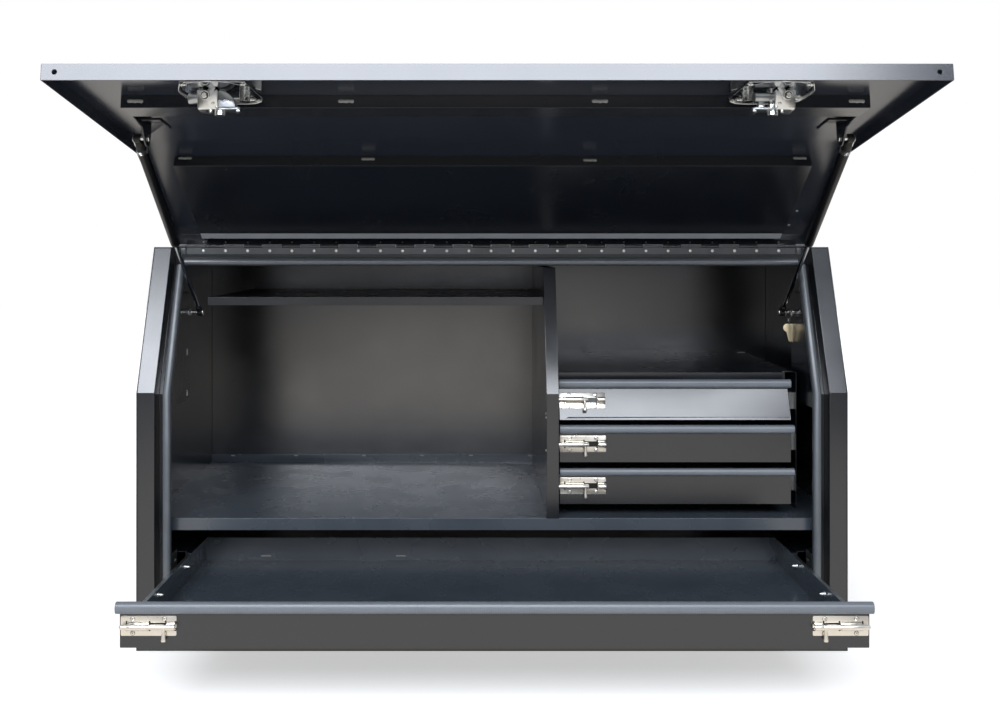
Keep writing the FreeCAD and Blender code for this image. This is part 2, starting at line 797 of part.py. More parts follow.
def piano_hinge():
    """Two leaves with interleaved knuckles on one long pin, and their rivets."""
    half = "hinge_length / 2"
    count = max(2, int(number("hinge_length / knuckle_length")))
    reach = "knuckle_window"

    def leaf(name, plate, first):
        barrel = cylinder(
            f"{name}_barrel", "x", "knuckle_radius", (f"-{half}", "hinge_y", "hinge_z"), "hinge_length"
        )
        bore = cylinder(
            f"{name}_bore",
            "x",
            "hinge_pin_radius + hinge_pin_clearance",
            (f"-{half} - overrun", "hinge_y", "hinge_z"),
            "hinge_length + overrun * 2",
        )
        windows = []
        for place in range(first, count, 2):
            low = f"-{half} + {place} * hinge_length / {count} - knuckle_gap"
            high = f"-{half} + {place + 1} * hinge_length / {count} + knuckle_gap"
            y_span = (f"hinge_y - {reach}", f"hinge_y + {reach}")
            z_span = (f"hinge_z - {reach}", f"hinge_z + {reach}")
            windows.append(box(f"{name}_window_{place}", (low, high), y_span, z_span))
        return cut(f"{name}_cut", fuse(f"{name}_blank", [plate, barrel]), [bore, *windows])

    across = (f"-{half}", half)
    lower = box(
        "cabinet_leaf_plate",
        across,
        ("header_y - leaf_thickness", "header_y"),
        ("hinge_z - cabinet_leaf_width", "hinge_z - hinge_rise"),
    )
    node("hinge_cabinet_leaf", leaf("cabinet_leaf", lower, 1))
    near = "hinge_along - sheet / 2 - leaf_thickness"
    far = "hinge_along - sheet / 2"
    top = "hinge_inset - lid_leaf_width - lid_leaf_behind"
    upper = [
        on_slope("hinge_inset - lid_leaf_behind", near),
        on_slope("hinge_inset - lid_leaf_behind", far),
        on_slope(top, far),
        on_slope(top, near),
    ]
    plate = prism("lid_leaf_plate", "x", upper, *across)
    node("hinge_lid_leaf", swing_open(leaf("lid_leaf", plate, 0)))
    node(
        "hinge_pin",
        cylinder("pin", "x", "hinge_pin_radius", (f"-{half}", "hinge_y", "hinge_z"), "hinge_length"),
    )
    pitch = "hinge_rivet_pitch"
    rivets = max(2, int(number(f"hinge_length / {pitch}")))
    face = "header_y - leaf_thickness"
    heads = []
    for place in range(rivets):
        x = f"({place} - {rivets - 1} / 2) * {pitch}"
        z = "hinge_z - (cabinet_leaf_width + knuckle_radius) / 2"
        start = (x, f"{face} - hinge_rivet_head", z)
        heads.append(cylinder(f"hinge_rivet_{place}", "y", "hinge_rivet_radius", start, "hinge_rivet_head"))
    node("hinge_rivets", group("hinge_rivet_row", heads))


def swing_open(piece):
    """Turn a lid piece from its closed place to the open one about the hinge pin."""
    axis = FreeCAD.Rotation(FreeCAD.Vector(1, 0, 0), -number("lid_open_angle"))
    piece.Placement = FreeCAD.Placement(FreeCAD.Vector(), axis)
    piece.setExpression("Placement.Rotation.Angle", bind("-lid_open_angle"))
    return set_base(
        piece,
        y="hinge_y - hinge_y * cos(lid_turn) - hinge_z * sin(lid_turn)",
        z="hinge_z + hinge_y * sin(lid_turn) - hinge_z * cos(lid_turn)",
    )


# Lid, modelled closed and swung open


def lid_panels():
    """The bent outer pan, its stiffener rail and the inner panel on the sloped face."""
    lip = upright("skin + lid_flange")
    outline = [
        (lip, "lid_low"),
        (upright("skin"), "lid_low"),
        (upright("skin"), bend_height("skin")),
        on_slope("skin", "lid_end"),
        on_slope("skin + lid_rear_flange", "lid_end"),
        on_slope("skin + lid_rear_flange", "lid_end - sheet"),
        on_slope("skin_inner", "lid_end - sheet"),
        (upright("skin_inner"), bend_height("skin_inner")),
        (upright("skin_inner"), "lid_low + sheet"),
        (lip, "lid_low + sheet"),
    ]
    end = [
        (lip, "lid_low"),
        (upright("skin"), "lid_low"),
        (upright("skin"), bend_height("skin")),
        on_slope("skin", "lid_end"),
        on_slope("skin + lid_flange", "lid_end"),
        (lip, bend_height("skin + lid_flange")),
    ]
    pieces = [prism("lid_skin", "x", outline, "-lid_half", "lid_half")]
    holes = []
    for side in ("left", "right"):
        pieces.append(prism(f"{side}_lid_end", "x", end, *flip(side, "lid_half - sheet", "lid_half")))
        drain = (
            signed(side, "lid_half - lip_hole_from_end"),
            upright("skin + lid_flange / 2"),
            "lid_low - overrun",
        )
        holes.append(cylinder(f"{side}_lip_hole", "z", "lip_hole_radius", drain, "sheet + overrun * 2"))
        opening = pan_outline(side, "pan_fit")
        through = ("lock_skin_y - overrun", "lock_skin_y + sheet + overrun")
        holes.append(prism(f"{side}_pan_opening", "y", opening, *through))
    node("lid_shell", swing_open(cut("lid_pan", fuse("lid_weld", pieces), holes)))

    wall = "stiffener_sheet"
    low = "stiffener_low"
    high = "stiffener_low + stiffener_width"
    channel = [
        (upright("skin_inner"), low),
        (upright("stiffener_face"), low),
        (upright("stiffener_face"), high),
        (upright("skin_inner"), high),
        (upright("skin_inner"), f"{high} - {wall}"),
        (upright(f"stiffener_face - {wall}"), f"{high} - {wall}"),
        (upright(f"stiffener_face - {wall}"), f"{low} + {wall}"),
        (upright("skin_inner"), f"{low} + {wall}"),
    ]
    rail = prism("stiffener", "x", channel, "-stiffener_length / 2", "stiffener_length / 2")
    node("lid_stiffener_rail", swing_open(group("stiffener_fold", [rail])))

    half = "inner_panel_width / 2"
    thin = "inner_panel_sheet"

    def pan(name, grow, near, reach):
        corners = [
            on_slope(near, f"inner_panel_start - {grow}"),
            on_slope(f"inner_panel_face + {grow}", f"inner_panel_start - {grow}"),
            on_slope(f"inner_panel_face + {grow}", f"inner_panel_end + {grow}"),
            on_slope(near, f"inner_panel_end + {grow}"),
        ]
        return prism(name, "x", corners, f"-({reach})", reach)

    outer = pan("inner_pan_blank", "0", "skin_inner", half)
    hollow = pan("inner_pan_hollow", f"-{thin}", "skin_inner - overrun", f"{half} - {thin}")
    node("lid_inner_panel", swing_open(cut("inner_pan", outer, [hollow])))

    heads = []
    face = "hinge_along - sheet / 2 - leaf_thickness"
    pitch = "hinge_rivet_pitch"
    count = max(2, int(number(f"hinge_length / {pitch}")))
    middle = "hinge_inset - lid_leaf_behind - lid_leaf_width / 2"
    foot = on_slope(middle, f"{face} - hinge_rivet_head")
    for place in range(count):
        x = f"({place} - {count - 1} / 2) * {pitch}"
        head = cylinder(f"lid_rivet_{place}", "z", "lid_rivet_radius", (x, *foot), "hinge_rivet_head")
        heads.append(lean_back(head))
    node("lid_rivets", swing_open(group("lid_rivet_row", heads)))


def lean_back(bar):
    """Turn an upright bar so that it runs up the slope."""
    bar.Placement.Rotation = FreeCAD.Rotation(FreeCAD.Vector(1, 0, 0), -number("slope_angle"))
    bar.setExpression("Placement.Rotation.Angle", bind("-slope_angle"))
    return bar


# Half-length and half-width shares of the lock pan's outline, outer end first, tip towards the middle
PAN_OUTLINE_SHARES = [
    (1.0, -0.24),
    (1.0, 0.24),
    (0.82, 0.66),
    (0.46, 0.94),
    (0.1, 1.0),
    (-0.34, 0.86),
    (-0.74, 0.42),
    (-1.0, 0.14),
    (-1.0, -0.14),
    (-0.74, -0.42),
    (-0.34, -0.86),
    (0.1, -1.0),
    (0.46, -0.94),
    (0.82, -0.66),
]


def pan_outline(side, grow):
    """The lock pan's outline in X and Z, larger or smaller all round."""
    return [
        (
            signed(side, f"lock_x + {out} * (pan_length / 2 + {grow})"),
            f"lock_z + {up} * (pan_width / 2 + {grow})",
        )
        for out, up in PAN_OUTLINE_SHARES
    ]


def locks():
    """Recessed pans with turning paddles, claws and key barrels, as a mirrored pair."""
    pans = []
    housings = []
    for side in ("left", "right"):
        shaft_x = signed(side, "lock_x")
        middle = "lock_x - barrel_offset"
        barrel_x = signed(side, middle)

        def along_y(name, x, radius, near, far):
            start = (x, f"lock_skin_y + {near}", "lock_z")
            return cylinder(f"{side}_{name}", "y", radius, start, f"({far}) - ({near})")

        shell = prism(f"{side}_pan_outer", "y", pan_outline(side, "0"), "lock_skin_y", "pan_floor_y")
        rim = prism(
            f"{side}_pan_rim",
            "y",
            pan_outline(side, "pan_rim"),
            "lock_skin_y - pan_sheet",
            "lock_skin_y",
        )
        recess = prism(
            f"{side}_pan_recess",
            "y",
            pan_outline(side, "-pan_sheet"),
            "lock_skin_y - pan_sheet - overrun",
            "pan_floor_y - pan_sheet",
        )
        shaft_hole = "lock_shaft_radius + lock_shaft_fit"
        barrel_hole = "barrel_radius + barrel_fit"
        below = "pan_depth - pan_sheet - overrun"
        openings = [
            recess,
            along_y("pan_shaft_hole", shaft_x, shaft_hole, below, "pan_depth + overrun"),
            along_y("pan_barrel_hole", barrel_x, barrel_hole, below, "pan_depth + overrun"),
        ]
        pans.append(cut(f"{side}_pan", fuse(f"{side}_pan_blank", [shell, rim]), openings))

        half_wide = "lock_block_width / 2"
        half_high = "lock_block_height / 2"
        block = box(
            f"{side}_lock_block",
            flip(side, f"lock_x - {half_wide}", f"lock_x + {half_wide}"),
            ("pan_floor_y", "lock_skin_y + lock_block_top"),
            (f"lock_z - {half_high}", f"lock_z + {half_high}"),
        )
        arm_low, arm_high = flip(side, "lock_x", f"lock_x + {half_wide} + lock_arm_length")
        arm_y = "lock_skin_y + lock_block_top - lock_arm_radius - sheet"
        arm = cylinder(
            f"{side}_lock_arm",
            "x",
            "lock_arm_radius",
            (arm_low, arm_y, "lock_z"),
            f"({arm_high}) - ({arm_low})",
        )
        boss = along_y("barrel_boss", barrel_x, "barrel_boss_radius", "pan_depth", "barrel_boss_reach")
        bores = [
            along_y("block_bore", shaft_x, shaft_hole, below, "lock_block_top + overrun"),
            along_y("boss_bore", barrel_x, barrel_hole, below, "barrel_boss_reach + overrun"),
        ]
        body = fuse(f"{side}_lock_casting", [block, arm, boss])
        housings.append(cut(f"{side}_lock_housing", body, bores))

        paddle_top = "paddle_float + paddle_thickness"
        half_paddle = "paddle_length / 2"
        paddle = box(
            f"{side}_paddle_bar",
            flip(side, f"lock_x - {half_paddle}", f"lock_x + {half_paddle}"),
            ("lock_skin_y + paddle_float", f"lock_skin_y + {paddle_top}"),
            ("lock_z - paddle_width / 2", "lock_z + paddle_width / 2"),
        )
        claw_far = "claw_near + claw_thickness"
        shaft = along_y("lock_shaft", shaft_x, "lock_shaft_radius", paddle_top, claw_far)
        knob = along_y("lock_knob", shaft_x, "lock_knob_radius", claw_far, "lock_reach")
        handle = fuse(f"{side}_handle", [paddle, shaft, knob])
        node(f"{side}_lock_handle", swing_open(handle))

        claw_plate = box(
            f"{side}_claw_plate",
            flip(side, "lock_x - claw_reach", "lock_x"),
            ("lock_skin_y + claw_near", f"lock_skin_y + {claw_far}"),
            ("lock_z - claw_width / 2", "lock_z + claw_width / 2"),
        )
        hub = along_y("claw_hub", shaft_x, "claw_width / 2", "claw_near", claw_far)
        eye = along_y(
            "claw_eye", shaft_x, "lock_shaft_radius", "claw_near - overrun", f"{claw_far} + overrun"
        )
        claw = cut(f"{side}_claw", fuse(f"{side}_claw_blank", [claw_plate, hub]), [eye])
        node(f"{side}_latch_claw", swing_open(claw))

        face = "pan_depth - pan_sheet - barrel_proud"
        barrel = along_y("barrel_plug", barrel_x, "barrel_radius", face, "barrel_reach")
        slot = box(
            f"{side}_key_slot",
            flip(side, f"{middle} - key_slot_width / 2", f"{middle} + key_slot_width / 2"),
            (f"lock_skin_y + {face} - overrun", f"lock_skin_y + {face} + key_slot_depth"),
            ("lock_z - key_slot_height / 2", "lock_z + key_slot_height / 2"),
        )
        node(f"{side}_key_barrel", swing_open(cut(f"{side}_barrel_cut", barrel, [slot])))
    node("lock_pans", swing_open(group("pan_pair", pans)))
    node("lock_housings", swing_open(group("housing_pair", housings)))


def strut_brackets():
    """Folded brackets under the lid and the studs that carry the struts' upper ends."""
    brackets = []
    studs = []
    root = "lock_skin_y + sheet"
    outer = "bracket_face"
    inner = "bracket_face - bracket_sheet"
    tip = f"{inner} - bracket_arm"
    across = ("strut_upper_z - bracket_width / 2", "strut_upper_z + bracket_width / 2")
    arm_wide = ("strut_upper_z - bracket_arm_width / 2", "strut_upper_z + bracket_arm_width / 2")
    deep = "lock_skin_y + bracket_height"
    for side in ("left", "right"):
        parts = [
            box(f"{side}_bracket_plate", flip(side, inner, outer), (root, deep), across),
            box(
                f"{side}_bracket_foot",
                flip(side, f"{inner} - bracket_width / 2", inner),
                (root, f"{root} + bracket_sheet"),
                across,
            ),
            box(
                f"{side}_bracket_arm",
                flip(side, tip, inner),
                (f"{deep} - bracket_tip - bracket_sheet", f"{deep} - bracket_tip"),
                arm_wide,
            ),
            box(
                f"{side}_bracket_tip",
                flip(side, tip, f"{tip} + bracket_sheet"),
                (f"{deep} - bracket_tip - bracket_sheet", deep),
                arm_wide,
            ),
        ]
        brackets.append(fuse(f"{side}_bracket", parts))
        pin = stud(f"{side}_upper_stud", side, "strut_upper_y", "strut_upper_z", outer, 1)
        low, high = flip(side, f"{inner} - stud_head", inner)
        nut = cylinder(
            f"{side}_stud_nut",
            "x",
            "stud_head_radius",
            (low, "strut_upper_y", "strut_upper_z"),
            f"({high}) - ({low})",
        )
        studs.extend([pin, nut])
    node("strut_brackets", swing_open(group("bracket_pair", brackets)))
    node("lid_ball_studs", swing_open(group("upper_stud_set", studs)))


# Gas struts


def lay_strut(piece, side, y, z):
    """Place a strut piece, drawn along +Z, on the line from the lid's stud to the cabinet's stud."""
    tilt = "-90 deg - atan((strut_open_z - strut_lower_z) / (strut_lower_y - strut_open_y))"
    piece.Placement.Rotation = FreeCAD.Rotation(FreeCAD.Vector(1, 0, 0), number(tilt))
    piece.setExpression("Placement.Rotation.Angle", bind(tilt))
    return set_base(piece, signed(side, "strut_x"), y, z)


def eyelet_end(name, toward):
    """An eyelet round a stud with a neck on one side of it."""
    ring = cylinder(f"{name}_ring", "x", "eyelet_radius", ("-eyelet_half", "0", "0"), "eyelet_width")
    root = "(eyelet_bore + eyelet_radius) / 2"
    start = root if toward > 0 else "-strut_neck_length"
    neck_length = f"strut_neck_length - {root}"
    neck = cylinder(f"{name}_neck", "z", "strut_neck_radius", ("0", "0", start), neck_length)
    bore = cylinder(
        f"{name}_bore", "x", "eyelet_bore", ("-eyelet_half - overrun", "0", "0"), "eyelet_width + overrun * 2"
    )
    return [ring, neck], bore


def struts():
    """A tube with a gland at its mouth, and a rod with a piston inside it, on each side."""
    for side in ("left", "right"):
        name = f"{side}_tube"
        solids, bore = eyelet_end(name, 1)
        start = "strut_neck_length"
        barrel = cylinder(f"{name}_barrel", "z", "strut_tube_radius", ("0", "0", start), "strut_tube_length")
        inside = cylinder(
            f"{name}_inside",
            "z",
            "strut_tube_radius - strut_tube_wall",
            ("0", "0", f"{start} + strut_tube_wall"),
            "strut_tube_length - strut_tube_wall - strut_gland_length",
        )
        mouth = cylinder(
            f"{name}_mouth",
            "z",
            "strut_rod_radius + strut_gland_fit",
            ("0", "0", f"{start} + strut_tube_wall"),
            "strut_tube_length",
        )
        tube = cut(f"{name}_cut", fuse(f"{name}_blank", [*solids, barrel]), [bore, inside, mouth])
        node(f"{side}_strut_tube", lay_strut(tube, side, "strut_open_y", "strut_open_z"))

        name = f"{side}_rod"
        solids, bore = eyelet_end(name, -1)
        end = "-strut_neck_length - strut_rod_length"
        bar = cylinder(f"{name}_bar", "z", "strut_rod_radius", ("0", "0", end), "strut_rod_length")
        foot = ("0", "0", end)
        piston = cylinder(f"{name}_piston", "z", "strut_piston_radius", foot, "strut_piston_length")
        rod = cut(f"{name}_cut", fuse(f"{name}_blank", [*solids, bar, piston]), [bore])
        node(f"{side}_strut_rod", lay_strut(rod, side, "strut_lower_y", "strut_lower_z"))


# Drawers

# Per drawer in the bank: the prefix of its sizes and how far its face leans back
BANK_DRAWERS = {
    "top": "slope_angle",
    "middle": "0 deg",
    "lower": "0 deg",
}


def bank_low(name):
    """Underside of a bank drawer's face."""
    return f"(floor_height + {name}_drawer_rise)"


def bolt_y(name):
    """Y of a bank bolt's rod."""
    lean = BANK_DRAWERS[name]
    return f"(face_y + bolt_rise * tan({lean}) - bolt_axis * cos({lean}))"


def bolt_z(name):
    """Height of a bank bolt's rod."""
    return f"({bank_low(name)} + bolt_rise + bolt_axis * sin({BANK_DRAWERS[name]}))"


def drawer_tray(name, low, face, lip, lean, front, box_x, face_x, lip_x, depth, proud):
    """A folded tray with a front face, flat or leaning back, and a rolled lip along its top."""

    def leaned(height):
        return f"({front} + (({height}) - ({low})) * tan({lean}))"

    face_high = f"{low} + {face}"
    top = leaned(face_high)
    lip_high = f"{face_high} + {lip}"
    floor_low = f"{low} + tray_lift"
    wall_top = f"{face_high} + tray_wall_rise"
    rear = f"{front} + {depth}"
    chamfer = f"({lip}) * lip_chamfer_share"
    left, right = box_x
    front_plate = [
        (front, low),
        (f"{front} + tray_sheet", low),
        (f"{top} + tray_sheet", face_high),
        (top, face_high),
    ]
    roll = [
        (f"{top} + tray_sheet", face_high),
        (f"{top} - {proud} + {chamfer}", face_high),
        (f"{top} - {proud}", f"{face_high} + {chamfer}"),
        (f"{top} - {proud}", f"{lip_high} - {chamfer}"),
        (f"{top} - {proud} + {chamfer}", lip_high),
        (f"{top} + tray_sheet", lip_high),
    ]
    wall = [
        (leaned(floor_low), floor_low),
        (rear, floor_low),
        (rear, wall_top),
        (leaned(wall_top), wall_top),
    ]
    return [
        prism(f"{name}_front", "x", front_plate, *face_x),
        prism(f"{name}_lip", "x", roll, *lip_x),
        prism(f"{name}_left_wall", "x", wall, left, f"{left} + tray_sheet"),
        prism(f"{name}_right_wall", "x", wall, f"{right} - tray_sheet", right),
        box(f"{name}_floor", box_x, (leaned(floor_low), rear), (floor_low, f"{floor_low} + tray_sheet")),
        box(f"{name}_back", box_x, (f"{rear} - tray_sheet", rear), (floor_low, wall_top)),
    ]


def channel(name, root, toward, low, reach, wall, height, y):
    """A C channel along Y, its web at the root and its flanges reaching towards +X or -X."""
    sign = "+" if toward > 0 else "-"
    tip = f"{root} {sign} ({reach})"
    inside = f"{root} {sign} {wall}"
    high = f"{low} + {height}"
    outline = [
        (root, low),
        (tip, low),
        (tip, f"{low} + {wall}"),
        (inside, f"{low} + {wall}"),
        (inside, f"{high} - {wall}"),
        (tip, f"{high} - {wall}"),
        (tip, high),
        (root, high),
    ]
    return prism(name, "y", outline, *y)


def bank_drawers():
    """Three short drawers on channel slides, the right ones on packers."""
    outers = []
    slide_y = ("slide_front_y", "slide_back_y")
    right_root = "bank_right - slide_packer"
    play = "(slide_sheet + slide_gap)"
    for name, lean in BANK_DRAWERS.items():
        low = bank_low(name)
        pieces = drawer_tray(
            f"{name}_tray",
            low,
            f"{name}_drawer_face",
            f"{name}_drawer_lip",
            lean,
            "face_y",
            ("tray_left", "tray_right"),
            ("drawer_left", "drawer_right"),
            ("drawer_left", "drawer_lip_right"),
            "tray_depth",
            "drawer_lip_proud",
        )
        node(f"{name}_drawer_tray", fuse(f"{name}_tray_weld", pieces))
        slide_low = f"{low} + slide_rise"
        across = (f"{slide_low} + {play}", f"{slide_low} + slide_height - {play}")
        bars = [
            box(f"{name}_left_runner", (f"divider_right + {play}", "tray_left"), slide_y, across),
            box(f"{name}_right_runner", ("tray_right", f"{right_root} - {play}"), slide_y, across),
        ]
        node(f"{name}_drawer_runners", group(f"{name}_runner_pair", bars))
        size = ("slide_reach", "slide_sheet", "slide_height", slide_y)
        left = channel(f"{name}_left_slide", "divider_right", 1, slide_low, *size)
        right = channel(f"{name}_right_slide", right_root, -1, slide_low, *size)
        packer = box(
            f"{name}_packer", (right_root, "bank_right"), slide_y, (slide_low, f"{slide_low} + slide_height")
        )
        outers.extend([left, fuse(f"{name}_right_slide_set", [right, packer])])
    node("drawer_slide_outers", group("bank_slides", outers))


def bottom_drawer():
    """The full-width drawer, drawn closed and placed pulled out, with its slides and support rails."""
    half = "bottom_tray_half_width"
    face = ("-bottom_half_width", "bottom_half_width")
    lip = ("-bottom_lip_half_width", "bottom_lip_half_width")
    pieces = drawer_tray(
        "bottom_tray",
        "bottom_low",
        "bottom_face",
        "bottom_lip",
        "0 deg",
        "bottom_face_y",
        (f"-{half}", half),
        face,
        lip,
        "bottom_tray_depth",
        "bottom_lip_proud",
    )
    rivet_z = "bottom_low + wall_rivet_rise"
    for side in ("left", "right"):
        low, high = flip(side, f"{half} - tray_sheet - wall_rivet_head", f"{half} - tray_sheet")
        for place in range(2):
            y = f"bottom_face_y + wall_rivet_first + {place} * wall_rivet_spacing"
            head = cylinder(
                f"{side}_wall_rivet_{place}", "x", "wall_rivet_radius", (low, y, rivet_z), "wall_rivet_head"
            )
            pieces.append(head)
    node("bottom_drawer_tray", set_base(fuse("bottom_tray_weld", pieces), y="-bottom_travel"))

    play = "(slide_sheet + slide_gap)"
    slide_low = "bottom_low + bottom_slide_rise"
    rear = "bottom_face_y + bottom_tray_depth - slide_rear_gap"
    runner_y = ("bottom_face_y + tray_sheet", rear)
    outer_y = ("front_y + bottom_rail_set_in", rear)
    bars = []
    outers = []
    for side, toward in (("left", 1), ("right", -1)):
        across = flip(side, half, f"bottom_rail_inner - {play}")
        height = (f"{slide_low} + {play}", f"{slide_low} + slide_height - {play}")
        bars.append(box(f"{side}_bottom_runner", across, runner_y, height))
        root = signed(side, "bottom_rail_inner")
        size = ("slide_sheet", "slide_height", outer_y)
        slide = channel(f"{side}_bottom_slide", root, toward, slide_low, "slide_reach", *size)
        rail = channel(
            f"{side}_bottom_rail",
            root,
            -toward,
            f"{slide_low} - bottom_rail_margin",
            "wall_inner - bottom_rail_inner",
            "sheet",
            "slide_height + bottom_rail_margin * 2",
            outer_y,
        )
        outers.extend([slide, rail])
    node("bottom_drawer_runners", set_base(group("bottom_runner_pair", bars), y="-bottom_travel"))
    node("bottom_slide_outers", group("bottom_slide_set", outers))


# Barrel bolts


def barrel_bolt(name, start, toward, out, place):
    """A bolt's plate with a long and a short tube on it, and its rod with a hanging knob.

    Drawn on a face at Y = 0 about Z = 0. The plate starts at one end and runs towards +X or -X,
    and the rod's tip stands out past the start.
    """

    def span(near, far):
        if toward > 0:
            return f"{start} + ({near})", f"{start} + ({far})"
        return f"{start} - ({far})", f"{start} - ({near})"

    half = "bolt_plate_width / 2"
    plate = box(f"{name}_plate", span("0", "bolt_length"), ("-bolt_plate", "0"), (f"-{half}", half))
    solids = [plate]
    wall = "bolt_radius + bolt_tube_wall"
    for index, (near, length) in enumerate(
        (
            ("near_tube_from_start", "near_tube_length"),
            ("far_tube_from_start", "far_tube_length"),
        )
    ):
        low, high = span(near, f"{near} + {length}")
        rise = (f"-({wall})", wall)
        solids.append(box(f"{name}_wall_{index}", (low, high), ("-bolt_axis", "-bolt_plate"), rise))
        solids.append(
            cylinder(f"{name}_tube_{index}", "x", wall, (low, "-bolt_axis", "0"), f"({high}) - ({low})")
        )
    for index, near in enumerate(("bolt_screw_from_end", "bolt_length - bolt_screw_from_end")):
        for height in ("-bolt_screw_rise", "bolt_screw_rise"):
            centre = (span(near, near)[0], "-bolt_plate - bolt_screw_head", height)
            solids.append(
                cylinder(f"{name}_screw_{index}", "y", "bolt_screw_radius", centre, "bolt_screw_head")
            )
    low, high = span("near_tube_from_start - overrun", "bolt_length + overrun")
    bore = cylinder(
        f"{name}_bore", "x", "bolt_radius + bolt_fit", (low, "-bolt_axis", "0"), f"({high}) - ({low})"
    )
    housing = cut(f"{name}_housing", fuse(f"{name}_housing_blank", solids), [bore])

    low, high = span(f"-({out})", f"bolt_rod_length - ({out})")
    knob = f"bolt_knob_from_tip - ({out})"
    knob_end = (span(knob, knob)[0], "-bolt_axis", "-bolt_knob_reach")
    rod = [
        cylinder(f"{name}_bar", "x", "bolt_radius", (low, "-bolt_axis", "0"), f"({high}) - ({low})"),
        cylinder(f"{name}_stem", "z", "bolt_stem_radius", knob_end, "bolt_knob_reach"),
        ball(f"{name}_knob", "bolt_knob_radius", knob_end),
    ]
    return place(housing), place(fuse(f"{name}_rod_weld", rod))


def barrel_bolts():
    """One bolt on each bank drawer and two on the bottom drawer."""
    for name, lean in BANK_DRAWERS.items():

        def on_face(piece, name=name, lean=lean):
            tilt = f"-({lean})"
            piece.Placement.Rotation = FreeCAD.Rotation(FreeCAD.Vector(1, 0, 0), number(tilt))
            if lean != "0 deg":
                piece.setExpression("Placement.Rotation.Angle", bind(tilt))
            return set_base(piece, "0", f"face_y + bolt_rise * tan({lean})", f"{bank_low(name)} + bolt_rise")

        out = "drawer_left_gap - bolt_tip_clearance + bolt_throw"
        housing, rod = barrel_bolt(f"{name}_bolt", "drawer_left", 1, out, on_face)
        node(f"{name}_bolt_housing", housing)
        node(f"{name}_bolt_rod", rod)

    def pulled_out(piece):
        return set_base(piece, "0", "bottom_face_y - bottom_travel", "bottom_low + bolt_rise")

    housings = []
    for side, toward in (("left", 1), ("right", -1)):
        start = signed(side, "(bottom_half_width - bolt_edge)")
        housing, rod = barrel_bolt(f"bottom_{side}_bolt", start, toward, "0", pulled_out)
        housings.append(housing)
        node(f"bottom_{side}_bolt_rod", rod)
    node("bottom_bolt_housings", group("bottom_housing_pair", housings))


def strikers_and_keepers():
    """Plates that the lid's claws catch, and plates with holes that the bottom bolts enter."""
    pieces = []
    back = upright("groove_depth")
    for side in ("left", "right"):
        half = "striker_width / 2"
        striker = box(
            f"{side}_striker",
            flip(side, f"lock_x - {half}", f"lock_x + {half}"),
            (back, f"{back} + sheet"),
            ("sill_height - sheet", "striker_top"),
        )
        plate = box(
            f"{side}_keeper",
            flip(side, "upstand_in", "upstand_out"),
            (back, f"{back} + keeper_depth"),
            ("keeper_z - keeper_height / 2", "keeper_z + keeper_height / 2"),
        )
        low, high = flip(side, "upstand_in - overrun", "upstand_out + overrun")
        hole = cylinder(
            f"{side}_keeper_hole",
            "x",
            "bolt_radius + hole_fit",
            (low, "bottom_face_y - bolt_axis", "keeper_z"),
            f"({high}) - ({low})",
        )
        pieces.extend([striker, cut(f"{side}_keeper_cut", plate, [hole])])
    node("strikers_and_keepers", group("striker_set", pieces))


def spare_keys():
    """Two flat keys on a split ring that hangs from the right lower stud."""
    ring_z = "(strut_lower_z - (key_ring_radius - key_ring_wire - stud_radius - stud_fit))"
    ring = doc.addObject("Part::Torus", "key_ring")
    ring.setExpression("Radius1", bind("key_ring_radius"))
    ring.setExpression("Radius2", bind("key_ring_wire"))
    ring.Placement = FreeCAD.Placement(FreeCAD.Vector(), TURN_TO["x"])
    set_base(ring, "key_hang", "strut_lower_y", ring_z)
    pieces = [ring]
    half_thick = "key_thickness / 2"
    bow_z = "-(key_bow_radius - key_bow_hole - key_hole_edge)"
    for index, tilt in enumerate(("key_tilt", "0")):
        bow = cylinder(
            f"key_bow_{index}", "y", "key_bow_radius", ("0", f"-{half_thick}", bow_z), "key_thickness"
        )
        blade = box(
            f"key_blade_{index}",
            ("-key_blade_width / 2", "key_blade_width / 2"),
            (f"-{half_thick}", half_thick),
            (f"{bow_z} + key_bow_radius - key_length", bow_z),
        )
        hole = cylinder(
            f"key_hole_{index}", "y", "key_bow_hole", ("0", f"-{half_thick} - overrun", "0"),
            "key_thickness + overrun * 2",
        )
        key = cut(f"key_{index}", fuse(f"key_blank_{index}", [bow, blade]), [hole])
        key.Placement.Rotation = FreeCAD.Rotation(FreeCAD.Vector(0, 1, 0), number(tilt))
        if tilt != "0":
            key.setExpression("Placement.Rotation.Angle", bind(tilt))
        step = f"key_step * ({index} + 0.5)"
        wire_z = f"{ring_z} - sqrt(key_ring_radius ^ 2 - ({step}) ^ 2)"
        hole_z = f"{wire_z} - (key_bow_hole - key_ring_wire - stud_fit)"
        pieces.append(set_base(key, "key_hang", f"strut_lower_y + {step}", hole_z))
    node("spare_keys", group("key_set", pieces))


def check_model():
    """Stop on a failed feature or an empty or broken sub-part."""
    for item in doc.Objects:
        if "Invalid" in item.State or "Error" in item.State:
            raise RuntimeError(f"{item.Label} failed: {item.State}")
    for piece in nodes:
        if piece.Shape.isNull() or not piece.Shape.isValid():
            raise RuntimeError(f"{piece.Label} has no valid shape")


def main():
    """Build every sub-part, check it and write its STEP file."""
    cabinet_shell()
    door_frame()
    seal_bulb()
    inner_panels()
    strut_mounts()
    piano_hinge()
    lid_panels()
    locks()
    strut_brackets()
    struts()
    bank_drawers()
    bottom_drawer()
    barrel_bolts()
    strikers_and_keepers()
    spare_keys()
    doc.recompute()
    check_model()
    for piece in nodes:
        piece.Shape.exportStep(f"parts/{piece.Label}.step")
    print(len(nodes), "sub-parts written")


main()
